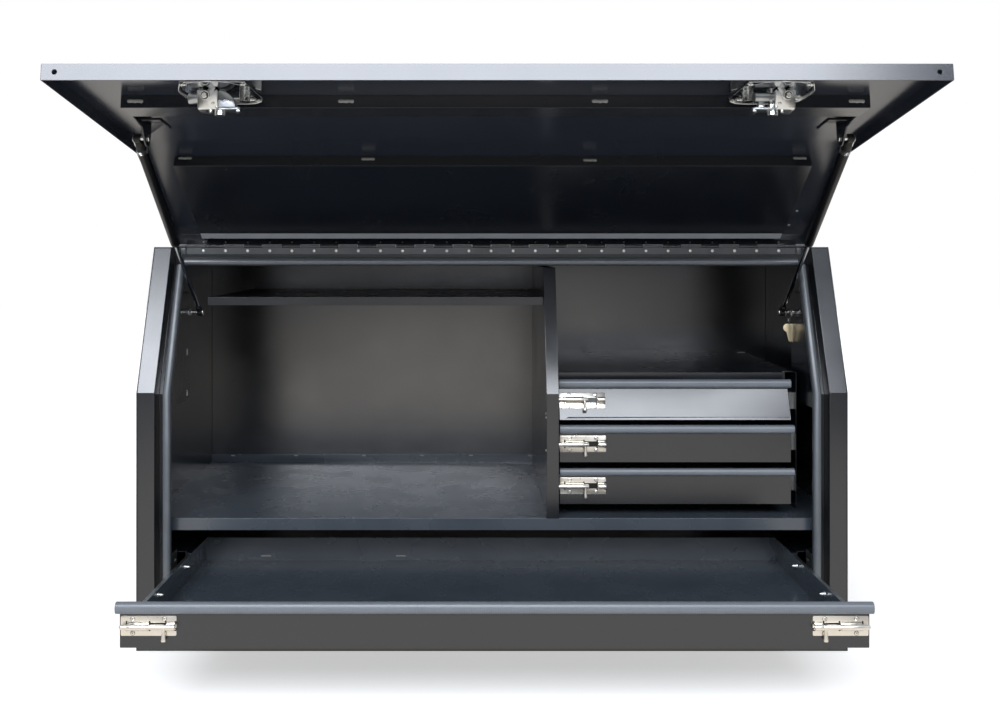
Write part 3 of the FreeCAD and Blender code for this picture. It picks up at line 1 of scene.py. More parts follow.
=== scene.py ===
"""A black side-opening vehicle tool box, dressed for a plain studio photograph.

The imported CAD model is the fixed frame. Folded sheets are copied from it and get the soft edges of bent,
powder-coated steel. The hardware on them, such as bolts, locks, struts, rivets and keys, is modelled here.
Everything is in metres, with X to the right, -Y to the front and Z up, and a piece's place is in its mesh.
"""

from __future__ import annotations

import logging
import math
from dataclasses import dataclass, replace
from enum import Enum, IntEnum
from typing import Any, Iterable, Mapping, Sequence

import bmesh
import bpy
from mathutils import Matrix, Vector
from mathutils.bvhtree import BVHTree

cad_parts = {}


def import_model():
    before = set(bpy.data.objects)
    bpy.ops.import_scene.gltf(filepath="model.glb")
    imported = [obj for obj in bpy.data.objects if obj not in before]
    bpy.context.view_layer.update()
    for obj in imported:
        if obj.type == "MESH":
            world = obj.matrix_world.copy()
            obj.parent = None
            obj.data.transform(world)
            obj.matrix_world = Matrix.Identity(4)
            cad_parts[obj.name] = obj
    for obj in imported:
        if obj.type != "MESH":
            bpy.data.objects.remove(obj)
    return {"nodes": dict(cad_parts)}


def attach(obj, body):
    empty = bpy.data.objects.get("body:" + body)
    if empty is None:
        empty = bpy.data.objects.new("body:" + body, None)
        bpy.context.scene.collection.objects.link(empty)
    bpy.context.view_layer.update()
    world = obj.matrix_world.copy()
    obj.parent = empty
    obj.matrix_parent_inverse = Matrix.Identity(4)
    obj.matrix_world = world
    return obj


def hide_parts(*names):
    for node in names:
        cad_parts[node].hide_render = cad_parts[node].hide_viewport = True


LOG = logging.getLogger("tool_box")
MM = 0.001
# The piano hinge's line, in millimetres, how far the lid stands open, and the closed lid's skin
HINGE_LINE = (0.0, -160.9, 797.0)
LID_OPENING = -98.36
LID_SKIN = -315.8
# How far the door frame and the top drawer's face lean back, in degrees
FRAME_LEAN = 22.944
# Depth and height of the struts' studs in millimetres, the upper ones with the lid open
UPPER_STUD = (-568.0, 983.1)
LOWER_STUD = (-135.0, 657.0)

Point = tuple[float, float]
Triple = tuple[float, float, float]
# An extrusion's station: its origin and the directions of the section's two axes
Station = tuple[Vector, Vector, Vector]


class Side(Enum):
    """The object's left and right, as the camera sees them."""

    LEFT = -1
    RIGHT = 1

    @property
    def word(self) -> str:
        """Name of the side as the CAD nodes spell it."""
        return self.name.lower()


class Body(Enum):
    """The CAD bodies that carry more than one kind of piece."""

    CABINET = "cabinet"
    LID = "lid"
    BOTTOM_DRAWER = "bottom_drawer"
    KEYS = "keys"


# Finishes


def linear(code: str) -> tuple[float, float, float, float]:
    """Turn an sRGB hex colour into the linear values that shaders take.

    Args:
        code: The colour as six hex digits after a hash.

    Returns:
        Red, green, blue and a full alpha.
    """
    channels = [int(code[place : place + 2], 16) / 255 for place in (1, 3, 5)]
    red, green, blue = (c / 12.92 if c <= 0.04045 else ((c + 0.055) / 1.055) ** 2.4 for c in channels)
    return red, green, blue, 1.0


def wire(
    tree: bpy.types.NodeTree, kind: str, inputs: Mapping[Any, Any] | None = None, **settings: Any
) -> Any:
    """Add a node with its settings and links.

    Args:
        tree: The node tree that the node joins.
        kind: The node's type name.
        inputs: For each input's name or number, a socket to link or a value to set.
        settings: The node's own properties.

    Returns:
        The new node.
    """
    node = tree.nodes.new(kind)
    for key, value in settings.items():
        setattr(node, key, value)
    for key, value in (inputs or {}).items():
        if isinstance(value, bpy.types.NodeSocket):
            tree.links.new(value, node.inputs[key])
        else:
            node.inputs[key].default_value = value
    return node


@dataclass(frozen=True)
class Finish:
    """How a surface is made and how it meets the light.

    The grain is the surface's own texture, and the drift a slow change of gloss and tone across it.
    """

    label: str
    colour: str
    second: str
    metallic: float = 0.0
    roughness: float = 0.4
    roughness_drift: float = 0.05
    specular: float = 0.5
    ior: float = 1.5
    grain_mm: Triple = (2.0, 2.0, 2.0)
    grain_depth_mm: float = 0.02
    grain_detail: float = 2.0
    drift_mm: float = 90.0

    def material(self) -> bpy.types.Material:
        """Build the finish once, and give the same material to every later piece.

        Returns:
            The finish's material.
        """
        known = bpy.data.materials.get(self.label)
        if known:
            return known
        material = bpy.data.materials.new(self.label)
        material.use_nodes = True
        tree = material.node_tree
        tree.nodes.clear()
        where = wire(tree, "ShaderNodeTexCoord").outputs["Object"]
        drift = wire(
            tree,
            "ShaderNodeTexNoise",
            {"Vector": where, "Scale": 1 / (self.drift_mm * MM), "Detail": 3.0, "Roughness": 0.55},
        ).outputs["Fac"]
        gloss = wire(
            tree,
            "ShaderNodeMapRange",
            {
                "Value": drift,
                "From Min": 0.3,
                "From Max": 0.7,
                "To Min": self.roughness - self.roughness_drift,
                "To Max": self.roughness + self.roughness_drift,
            },
        ).outputs["Result"]
        tone = wire(
            tree,
            "ShaderNodeMix",
            {"Factor": drift, "A": linear(self.colour), "B": linear(self.second)},
            data_type="RGBA",
        )
        grain = self.grain(tree, where)
        bump = wire(
            tree,
            "ShaderNodeBump",
            {"Height": grain, "Strength": 1.0, "Distance": self.grain_depth_mm * MM},
        ).outputs["Normal"]
        shader = wire(
            tree,
            "ShaderNodeBsdfPrincipled",
            {
                "Base Color": tone.outputs["Result"],
                "Metallic": self.metallic,
                "Roughness": gloss,
                "IOR": self.ior,
                "Specular IOR Level": self.specular,
                "Normal": bump,
            },
        )
        wire(tree, "ShaderNodeOutputMaterial", {"Surface": shader.outputs["BSDF"]})
        return material

    def grain(self, tree: bpy.types.NodeTree, where: bpy.types.NodeSocket) -> bpy.types.NodeSocket:
        """Draw the surface's texture as a height.

        Args:
            tree: The material's node tree.
            where: The piece's own coordinates, in metres.

        Returns:
            The height's socket.
        """
        stretched = wire(
            tree,
            "ShaderNodeMapping",
            {"Vector": where, "Scale": tuple(1 / (size * MM) for size in self.grain_mm)},
        ).outputs["Vector"]
        return wire(
            tree,
            "ShaderNodeTexNoise",
            {"Vector": stretched, "Scale": 1.0, "Detail": self.grain_detail, "Roughness": 0.5},
        ).outputs["Fac"]


@dataclass(frozen=True)
class HammeredFinish(Finish):
    """A finish whose texture is rounded cells, as in cast or plated metal."""

    def grain(self, tree: bpy.types.NodeTree, where: bpy.types.NodeSocket) -> bpy.types.NodeSocket:
        """Draw shallow rounded pits as a height.

        Args:
            tree: The material's node tree.
            where: The piece's own coordinates, in metres.

        Returns:
            The height's socket.
        """
        return wire(
            tree,
            "ShaderNodeTexVoronoi",
            {"Vector": where, "Scale": 1 / (self.grain_mm[0] * MM), "Smoothness": 0.8},
            feature="SMOOTH_F1",
        ).outputs["Distance"]


@dataclass(frozen=True)
class RibbedFinish(Finish):
    """A finish whose texture is even ribs across the object's width."""

    def grain(self, tree: bpy.types.NodeTree, where: bpy.types.NodeSocket) -> bpy.types.NodeSocket:
        """Draw the ribs as a height.

        Args:
            tree: The material's node tree.
            where: The piece's own coordinates, in metres.

        Returns:
            The height's socket.
        """
        scaled = wire(
            tree,
            "ShaderNodeMapping",
            {"Vector": where, "Scale": tuple(1 / (size * MM) for size in self.grain_mm)},
        ).outputs["Vector"]
        return wire(
            tree,
            "ShaderNodeTexWave",
            {"Vector": scaled, "Scale": math.tau / 20, "Distortion": 0.0},
            bands_direction="X",
        ).outputs["Fac"]


# Gloss polyester powder coat on steel sheet: deep black with the slow ripple called orange peel, lumps of
# about 3 mm, and a hard clear gloss that mirrors whatever it faces.
POWDER_COAT = Finish(
    label="gloss_black_powder_coat",
    colour="#15181d",
    second="#1b1e23",
    roughness=0.21,
    roughness_drift=0.035,
    specular=1.0,
    grain_mm=(3.2, 3.2, 3.2),
    grain_depth_mm=0.012,
    drift_mm=160.0,
)
# The lid's coat: a paler copy of the same coat, as painted light on the lid.
LID_COAT_PAINTED_LIGHT = replace(POWDER_COAT, label="lid_black_powder_coat", colour="#22262e", second="#292d35")
# The lid's outer skin: the same coat, with the same painted paler tone, gone a little dull outdoors, so that
# its sheen spreads wider.
WEATHERED_COAT = replace(
    LID_COAT_PAINTED_LIGHT, label="weathered_black_powder_coat", roughness=0.52, roughness_drift=0.05, specular=0.35
)
# The same coat inside the box, made darker as painted shade there, and a little more satin.
SHADED_INNER_COAT = Finish(
    label="inner_black_powder_coat",
    colour="#0e1218",
    second="#14181f",
    roughness=0.25,
    roughness_drift=0.04,
    specular=1.0,
    grain_mm=(3.0, 3.0, 3.0),
    grain_depth_mm=0.014,
    drift_mm=140.0,
)
# The back panel's coat, sprayed on thickest because the panel lies flat in the booth: the deepest gloss.
BACK_COAT = replace(POWDER_COAT, label="thick_gloss_black_powder_coat", ior=1.75)
# The coat of the trays and the main floor, painted paler as the light that falls on them.
TRAY_COAT_PAINTED_LIGHT = Finish(
    label="scuffed_tray_powder_coat",
    colour="#363d45",
    second="#434a52",
    roughness=0.27,
    roughness_drift=0.05,
    specular=1.0,
    grain_mm=(3.0, 3.0, 3.0),
    grain_depth_mm=0.014,
    drift_mm=120.0,
)
# The hinge's leaves: thin dull coat over rolled steel strip, with pale patches painted as the reflections the
# leaves catch.
HINGE_STRIP_PAINTED_SHEEN = Finish(
    label="worn_coated_hinge_strip",
    colour="#1c2025",
    second="#565a5e",
    roughness=0.42,
    roughness_drift=0.06,
    specular=0.9,
    grain_mm=(14.0, 0.6, 0.6),
    grain_depth_mm=0.02,
    drift_mm=60.0,
)
# The strip of the lid's inner panel beside the hinge, painted pale as the light on its faces that turn to the
# camera.
STRIP_PAINTED_LIGHT = replace(HINGE_STRIP_PAINTED_SHEEN, label="rubbed_coated_strip", colour="#8b8f92", second="#a2a5a7")
# Weld metal under the black coat: rough ripples, painted pale grey as the highlights they catch.
WELD_PAINTED_HIGHLIGHT = HammeredFinish(
    label="coated_weld_bead",
    colour="#85857f",
    second="#a5a49c",
    roughness=0.5,
    specular=0.9,
    grain_mm=(1.4, 1.4, 1.4),
    grain_depth_mm=0.12,
    drift_mm=6.0,
)
# Stamped stainless steel, polished along its length: nearly white, with hair lines about 0.4 mm apart.
POLISHED_STAINLESS = Finish(
    label="polished_stainless_steel",
    colour="#faf6ee",
    second="#efe8dc",
    metallic=1.0,
    roughness=0.3,
    roughness_drift=0.04,
    grain_mm=(18.0, 0.4, 0.4),
    grain_depth_mm=0.002,
    drift_mm=14.0,
)
# Chrome on a zinc casting: a bright mirror over slightly uneven metal.
CHROME_PLATE = HammeredFinish(
    label="chrome_plated_casting",
    colour="#f2f3f2",
    second="#dfe1e0",
    metallic=1.0,
    roughness=0.2,
    roughness_drift=0.05,
    grain_mm=(3.0, 3.0, 3.0),
    grain_depth_mm=0.02,
    drift_mm=12.0,
)
# The locks' pans, pressed from chromed sheet: a clean mirror that shows the dark box below it.
CHROME_SHEET = Finish(
    label="chrome_plated_sheet",
    colour="#c9cdd2",
    second="#b9bdc3",
    metallic=1.0,
    roughness=0.1,
    roughness_drift=0.03,
    grain_mm=(4.0, 4.0, 4.0),
    grain_depth_mm=0.006,
    drift_mm=20.0,
)
# Zinc-plated mild steel: pale grey with a soft bloom.
ZINC_PLATE = Finish(
    label="zinc_plated_steel",
    colour="#c9ccce",
    second="#a9adb0",
    metallic=1.0,
    roughness=0.34,
    roughness_drift=0.08,
    grain_mm=(1.2, 1.2, 1.2),
    grain_depth_mm=0.012,
    drift_mm=9.0,
)
# Blind rivets of aluminium: small bright satin domes.
RIVET_ALUMINIUM = Finish(
    label="satin_aluminium_rivet",
    colour="#fafaf8",
    second="#f0f0ee",
    metallic=1.0,
    roughness=0.42,
    grain_mm=(0.8, 0.8, 0.8),
    grain_depth_mm=0.008,
    drift_mm=3.0,
)
# Extruded EPDM bulb: black rubber painted dark grey as the broad dull sheen it scatters, with faint lines
# along it.
BULB_RUBBER_PAINTED_SHEEN = Finish(
    label="extruded_bulb_rubber",
    colour="#454a4f",
    second="#53585d",
    roughness=0.36,
    roughness_drift=0.05,
    specular=1.0,
    grain_mm=(1.5, 1.5, 1.5),
    grain_depth_mm=0.03,
    drift_mm=40.0,
)
# Ribbed PVC trim pushed over the drawers' top edges: ribs 3 mm apart, dark trim painted a lighter grey as its
# soft sheen.
RIBBED_TRIM_PAINTED_SHEEN = RibbedFinish(
    label="ribbed_edge_trim",
    colour="#5a6067",
    second="#6a7077",
    roughness=0.44,
    roughness_drift=0.05,
    specular=1.0,
    grain_mm=(3.0, 3.0, 3.0),
    grain_depth_mm=0.16,
    drift_mm=50.0,
)
# Satin enamel baked on the gas struts' tubes.
SATIN_ENAMEL = Finish(
    label="satin_black_enamel",
    colour="#08080a",
    second="#0e0e11",
    roughness=0.34,
    roughness_drift=0.04,
    grain_mm=(1.6, 1.6, 1.6),
    grain_depth_mm=0.008,
    drift_mm=30.0,
)
# Glass-filled nylon of the struts' sockets: dull black with a fine pebble.
NYLON_SOCKET = Finish(
    label="glass_filled_nylon",
    colour="#0b0b0d",
    second="#141416",
    roughness=0.46,
    grain_mm=(0.7, 0.7, 0.7),
    grain_depth_mm=0.02,
    drift_mm=8.0,
)
# Ground and hard-chromed piston rod.
GROUND_ROD = Finish(
    label="hard_chromed_rod",
    colour="#b9bdc2",
    second="#a2a7ad",
    metallic=1.0,
    roughness=0.14,
    grain_mm=(0.5, 0.5, 20.0),
    grain_depth_mm=0.003,
    drift_mm=25.0,
)
# Nickel-plated brass keys: warm and a little worn.
NICKEL_KEY = Finish(
    label="nickel_plated_brass",
    colour="#fff4d8",
    second="#f7e3b8",
    metallic=1.0,
    roughness=0.55,
    grain_mm=(0.9, 0.9, 6.0),
    grain_depth_mm=0.02,
    drift_mm=7.0,
)


# Making meshes


def turned(profile: Sequence[Point], steps: int = 28) -> bmesh.types.BMesh:
    """Turn a profile about the local Z axis.

    Args:
        profile: Radius and height of each point, in millimetres, from one end to the other.
        steps: Number of facets round the piece.

    Returns:
        The turned solid, closed where the profile meets the axis.
    """
    bm = bmesh.new()
    points = [bm.verts.new((radius * MM, 0, height * MM)) for radius, height in profile]
    edges = [bm.edges.new(pair) for pair in zip(points, points[1:])]
    bmesh.ops.spin(
        bm,
        geom=points + edges,
        cent=(0, 0, 0),
        axis=(0, 0, 1),
        angle=math.tau,
        steps=steps,
        use_merge=True,
        use_duplicate=False,
    )
    bmesh.ops.remove_doubles(bm, verts=bm.verts, dist=0.001 * MM)
    bmesh.ops.recalc_face_normals(bm, faces=bm.faces)
    return bm


def rounded_bar(radius: float, length: float, edge: float = 0.6, steps: int = 24) -> bmesh.types.BMesh:
    """Make a round bar with eased ends, standing on the local origin.

    Args:
        radius: The bar's radius, in millimetres.
        length: The bar's length, in millimetres.
        edge: How far the ends are eased, in millimetres.
        steps: Number of facets round the bar.

    Returns:
        The bar.
    """
    lean = edge * 0.3
    lower = [(0, 0), (radius - edge, 0), (radius - lean, lean), (radius, edge)]
    upper = [(r, length - h) for r, h in reversed(lower)]
    return turned(lower + upper, steps)


def dome(radius: float, height: float, steps: int = 16) -> bmesh.types.BMesh:
    """Make a low domed head that sits on the local origin.

    Args:
        radius: The head's radius, in millimetres.
        height: How far it stands out, in millimetres.
        steps: Number of facets round it.

    Returns:
        The head.
    """
    arc = [(radius * math.cos(turn), height * math.sin(turn)) for turn in (0, 0.4, 0.8, 1.2)]
    return turned([(0, -0.3), (radius, -0.3), *arc, (0, height)], steps)


def block(low: Triple, high: Triple, edge: float = 0.5, segments: int = 2) -> bmesh.types.BMesh:
    """Make a box with eased edges.

    Args:
        low: Lowest corner, in millimetres.
        high: Highest corner, in millimetres.
        edge: Width of the eased edges, in millimetres.
        segments: Number of facets across an edge.

    Returns:
        The box.
    """
    bm = bmesh.new()
    size = [(b - a) * MM for a, b in zip(low, high)]
    middle = [(a + b) / 2 * MM for a, b in zip(low, high)]
    bmesh.ops.create_cube(bm, size=1.0)
    bmesh.ops.scale(bm, vec=size, verts=bm.verts)
    bmesh.ops.translate(bm, vec=middle, verts=bm.verts)
    ease(bm, bm.edges, edge, segments)
    return bm


def ease(bm: bmesh.types.BMesh, edges: Iterable[bmesh.types.BMEdge], width: float, segments: int = 2) -> None:
    """Round some edges of a mesh.

    Args:
        bm: The mesh.
        edges: The edges to round.
        width: Width of the rounding, in millimetres.
        segments: Number of facets across it.
    """
    bmesh.ops.bevel(
        bm,
        geom=list(edges),
        offset=width * MM,
        offset_type="OFFSET",
        segments=segments,
        profile=0.5,
        affect="EDGES",
        material=-1,
        clamp_overlap=True,
    )


def slab(outline: Sequence[Point], thickness: float, edge: float = 0.4) -> bmesh.types.BMesh:
    """Make a flat plate from its outline in the local XY plane.

    Args:
        outline: The corners in order, in millimetres.
        thickness: How far the plate rises along the local Z, in millimetres.
        edge: Width of its eased rims, in millimetres.

    Returns:
        The plate.
    """
    bm = bmesh.new()
    corners = [bm.verts.new((x * MM, y * MM, 0)) for x, y in outline]
    face = bm.faces.new(corners)
    raised = bmesh.ops.extrude_face_region(bm, geom=[face])
    tops = [item for item in raised["geom"] if isinstance(item, bmesh.types.BMVert)]
    bmesh.ops.translate(bm, vec=(0, 0, thickness * MM), verts=tops)
    bmesh.ops.recalc_face_normals(bm, faces=bm.faces)
    rims = [e for e in bm.edges if e.is_manifold and e.calc_face_angle() > math.radians(50)]
    ease(bm, [e for e in rims if abs(e.verts[0].co.z - e.verts[1].co.z) < 1e-7], edge)
    return bm


def loop_of_wire(radius: float, gauge: float, steps: int = 40, sides: int = 8) -> bmesh.types.BMesh:
    """Make a ring of round wire about the local Z axis.

    Args:
        radius: Radius of the wire's middle line, in millimetres.
        gauge: The wire's radius, in millimetres.
        steps: Number of facets round the ring.
        sides: Number of facets round the wire.

    Returns:
        The ring.
    """
    bm = bmesh.new()
    bmesh.ops.create_circle(bm, segments=sides, radius=gauge * MM)
    bmesh.ops.rotate(bm, matrix=Matrix.Rotation(math.pi / 2, 3, "X"), verts=bm.verts)
    bmesh.ops.translate(bm, vec=(radius * MM, 0, 0), verts=bm.verts)
    bmesh.ops.spin(
        bm,
        geom=bm.verts[:] + bm.edges[:],
        cent=(0, 0, 0),
        axis=(0, 0, 1),
        angle=math.tau,
        steps=steps,
        use_merge=True,
        use_duplicate=False,
    )
    bmesh.ops.remove_doubles(bm, verts=bm.verts, dist=0.001 * MM)
    bmesh.ops.recalc_face_normals(bm, faces=bm.faces)
    return bm


def extruded(section: Sequence[Point], stations: Sequence[Station]) -> bmesh.types.BMesh:
    """Push a closed section through a row of stations, as an extrusion that follows a frame.

    Args:
        section: The section's corners, in millimetres.
        stations: For each station its origin and the directions of the section's two axes.

    Returns:
        The extrusion, closed at both ends.
    """
    bm = bmesh.new()
    bmesh.ops.create_circle(bm, cap_ends=True, segments=len(section), radius=MM)
    bm.verts.ensure_lookup_table()
    ring = bm.verts[:]

    def lay(points: Sequence[bmesh.types.BMVert], station: Station) -> None:
        """Lay one ring of the section on its station.

        Args:
            points: The ring's corners, in the section's order.
            station: The station's origin and the directions of the section's two axes.
        """
        origin, across, deep = station
        for vert, (a, b) in zip(points, section):
            vert.co = origin * MM + across * (a * MM) + deep * (b * MM)

    lay(ring, stations[0])
    edges = bm.edges[:]
    for station in stations[1:]:
        made = bmesh.ops.extrude_edge_only(bm, edges=edges)["geom"]
        edges = [item for item in made if isinstance(item, bmesh.types.BMEdge)]
        twins = {}
        for vert in (item for item in made if isinstance(item, bmesh.types.BMVert)):
            root = min(ring, key=lambda old: (old.co - vert.co).length_squared)
            twins[root] = vert
        ring = [twins[old] for old in ring]
        edges = [e for e in edges if e.verts[0] in ring and e.verts[1] in ring]
        lay(ring, station)
    bmesh.ops.contextual_create(bm, geom=edges)
    bmesh.ops.recalc_face_normals(bm, faces=bm.faces)
    return bm


def aim(at: Sequence[float], direction: Sequence[float], spin: float = 0.0) -> Matrix:
    """Place a part so that its local Z looks along a direction.

    Args:
        at: Where its origin goes, in metres.
        direction: Where its Z looks.
        spin: Turn about its own Z, in degrees.

    Returns:
        The placing matrix.
    """
    turn = Vector(direction).to_track_quat("Z", "Y").to_matrix().to_4x4()
    return Matrix.Translation(Vector(at)) @ turn @ Matrix.Rotation(math.radians(spin), 4, "Z")


def at_mm(x: float, y: float, z: float) -> Vector:
    """A point given in millimetres, as a vector in metres."""
    return Vector((x, y, z)) * MM


def lid_swing() -> Matrix:
    """The matrix that swings a piece from the closed lid to the open one."""
    pivot = Matrix.Translation(at_mm(*HINGE_LINE))
    return pivot @ Matrix.Rotation(math.radians(LID_OPENING), 4, "X") @ pivot.inverted()


def hexagon(half_across: float, length: float, start: float = 0.0) -> bmesh.types.BMesh:
    """Make a hexagonal nut with eased corners about the local Z axis.

    Args:
        half_across: Half the distance across its corners, in millimetres.
        length: Its length, in millimetres.
        start: Height of its lower face, in millimetres.

    Returns:
        The nut.
    """
    turns = [k * math.pi / 3 for k in range(6)]
    corners = [(half_across * math.cos(turn), half_across * math.sin(turn)) for turn in turns]
    bm = slab(corners, length, 0.5)
    bmesh.ops.translate(bm, vec=(0, 0, start * MM), verts=bm.verts)
    return bm


def weld_bead(length: float, width: float, height: float) -> bmesh.types.BMesh:
    """Make a short weld bead of overlapping ripples along the local X axis.

    Args:
        length: Its length, in millimetres.
        width: Its width, in millimetres.
        height: How far it stands out, in millimetres.

    Returns:
        The bead.
    """
    bm = bmesh.new()
    ripples = max(3, round(length / (width * 0.6)))
    reach = length - width * 1.1
    for index in range(ripples):
        made = bmesh.ops.create_icosphere(bm, subdivisions=2, radius=MM)["verts"]
        wobble = 1 + 0.12 * math.sin(index * 2.4)
        bmesh.ops.scale(bm, vec=(width * 0.55, width / 2 * wobble, height * wobble), verts=made)
        x = (index / (ripples - 1) - 0.5) * reach
        bmesh.ops.translate(bm, vec=(x * MM, 0.25 * math.sin(index * 1.7) * MM, 0), verts=made)
    return bm


class Assembly:
    """Joins parts into one mesh and hands it over as a finished piece."""

    def __init__(self, start: bmesh.types.BMesh | None = None) -> None:
        """Start with nothing, or with a mesh that keeps its own slots.

        Args:
            start: The mesh to start with.
        """
        self.bm = start or bmesh.new()

    def add(self, part: bmesh.types.BMesh, place: Matrix | None = None, slot: int = 0) -> "Assembly":
        """Add a part, placed by a matrix.

        Args:
            part: The part, which is used up.
            place: Its place, or none when it is already there.
            slot: Number of the finish it takes.

        Returns:
            The assembly itself.
        """
        for face in part.faces:
            face.material_index = slot
        if place is not None:
            part.transform(place)
            if place.determinant() < 0:
                bmesh.ops.reverse_faces(part, faces=part.faces)
        carrier = bpy.data.meshes.new("part")
        part.to_mesh(carrier)
        part.free()
        self.bm.from_mesh(carrier)
        bpy.data.meshes.remove(carrier)
        return self

    def move(self, place: Matrix) -> "Assembly":
        """Place everything added so far.

        Args:
            place: The placing matrix.

        Returns:
            The assembly itself.
        """
        self.bm.transform(place)
        if place.determinant() < 0:
            bmesh.ops.reverse_faces(self.bm, faces=self.bm.faces)
        return self

    def publish(
        self,
        name: str,
        finishes: Finish | Sequence[Finish],
        body: str,
        replaces: Sequence[str] = (),
        edge: float = 0.0,
        sharp: float = 34.0,
    ) -> bpy.types.Object:
        """Make the piece, dress it, and let it ride on its body.

        Args:
            name: The piece's name.
            finishes: Its finish, or one for each slot.
            body: The CAD body that carries it.
            replaces: The CAD nodes that it stands for.
            edge: Width of the rounding on its sharp edges, in millimetres, or 0 for none.
            sharp: Angle above which an edge stays crisp, in degrees.

        Returns:
            The piece.
        """
        mesh = bpy.data.meshes.new(name)
        self.bm.to_mesh(mesh)
        self.bm.free()
        mesh.shade_smooth()
        mesh.set_sharp_from_angle(angle=math.radians(sharp))
        for finish in [finishes] if isinstance(finishes, Finish) else finishes:
            mesh.materials.append(finish.material())
        piece = bpy.data.objects.new(name, mesh)
        bpy.context.scene.collection.objects.link(piece)
        if edge:
            rounding = piece.modifiers.new("rounded_edges", "BEVEL")
            rounding.width = edge * MM
            rounding.segments = 2
            rounding.limit_method = "ANGLE"
            rounding.angle_limit = math.radians(sharp)
            rounding.use_clamp_overlap = False
            rounding.harden_normals = True
        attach(piece, body)
        if replaces:
            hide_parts(*replaces)
        LOG.info("%s: %d faces on %s", name, len(mesh.polygons), body)
        return piece


class Frame:
    """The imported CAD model, and what the scene reads from it."""

    # The camera's sight, in millimetres: where it stands and how far a pixel of the 1000x710 frame reaches
    EYE = Vector((-28.5, -2495.0, 791.0))
    REACH = 2185.0
    PIXEL = 1.9658
    CENTRE = (477.5, 249.0)

    def __init__(self) -> None:
        """Load the model and remember its nodes."""
        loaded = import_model()
        self.nodes: dict[str, bpy.types.Object] = loaded["nodes"]
        self.dressed: set[str] = set()
        self.trees: dict[str, BVHTree] = {}

    def copy(self, node: str) -> bmesh.types.BMesh:
        """Copy a node's mesh with its loose triangles merged into whole faces.

        Args:
            node: The CAD node's name.

        Returns:
            The merged copy.
        """
        bm = bmesh.new()
        bm.from_mesh(self.nodes[node].data)
        bmesh.ops.remove_doubles(bm, verts=bm.verts, dist=0.01 * MM)
        bmesh.ops.dissolve_limit(bm, angle_limit=math.radians(0.5), verts=bm.verts, edges=bm.edges)
        return bm

    def tree(self, node: str) -> BVHTree:
        """Build a search tree over a node's surface, once.

        Args:
            node: The CAD node's name.

        Returns:
            The tree.
        """
        if node not in self.trees:
            bm = bmesh.new()
            bm.from_mesh(self.nodes[node].data)
            self.trees[node] = BVHTree.FromBMesh(bm)
            bm.free()
        return self.trees[node]

    def sight(self, node: str, column: float, row: float) -> tuple[Vector, Vector]:
        """Find the point of a node's surface that the photograph shows at a pixel.

        Args:
            node: The CAD node that carries the detail.
            column: The pixel's column in the 1000x710 frame.
            row: The pixel's row.

        Returns:
            The point and the surface's normal there, towards the camera.
        """
        ray = Vector(
            ((column - self.CENTRE[0]) * self.PIXEL, self.REACH, -(row - self.CENTRE[1]) * self.PIXEL)
        ).normalized()
        point, normal, _, _ = self.tree(node).ray_cast(self.EYE * MM, ray)
        if point is None:
            point, normal, _, _ = self.tree(node).find_nearest(self.EYE * MM + ray * 2.3)
            LOG.warning("%s isn't behind pixel %.0f, %.0f", node, column, row)
        return point, -normal if normal.dot(ray) > 0 else normal

    def seat(self, node: str, near: Vector) -> tuple[Vector, Vector]:
        """Find the point of a node's surface that lies nearest.

        Args:
            node: The CAD node that carries the detail.
            near: A point close to the surface, in metres.

        Returns:
            The point and the outward normal there.
        """
        point, normal, _, _ = self.tree(node).find_nearest(near)
        return point, normal

    def soften(self, node: str, body: str, finish: Finish, edge: float = 0.7) -> bpy.types.Object:
        """Stand a copy with rounded edges in for a CAD sheet or casting.

        Args:
            node: The CAD node's name.
            body: The body that it rides on.
            finish: What it is finished in.
            edge: Width of the rounding, in millimetres.

        Returns:
            The piece.
        """
        return Assembly().add(self.copy(node)).publish(f"{node}_dressed", finish, body, (node,), edge)

    def coat(self, node: str, finish: Finish) -> None:
        """Give a CAD node that keeps its own shape a finish.

        Args:
            node: The CAD node's name.
            finish: What it is finished in.
        """
        self.nodes[node].data.materials.clear()
        self.nodes[node].data.materials.append(finish.material())


# The studio


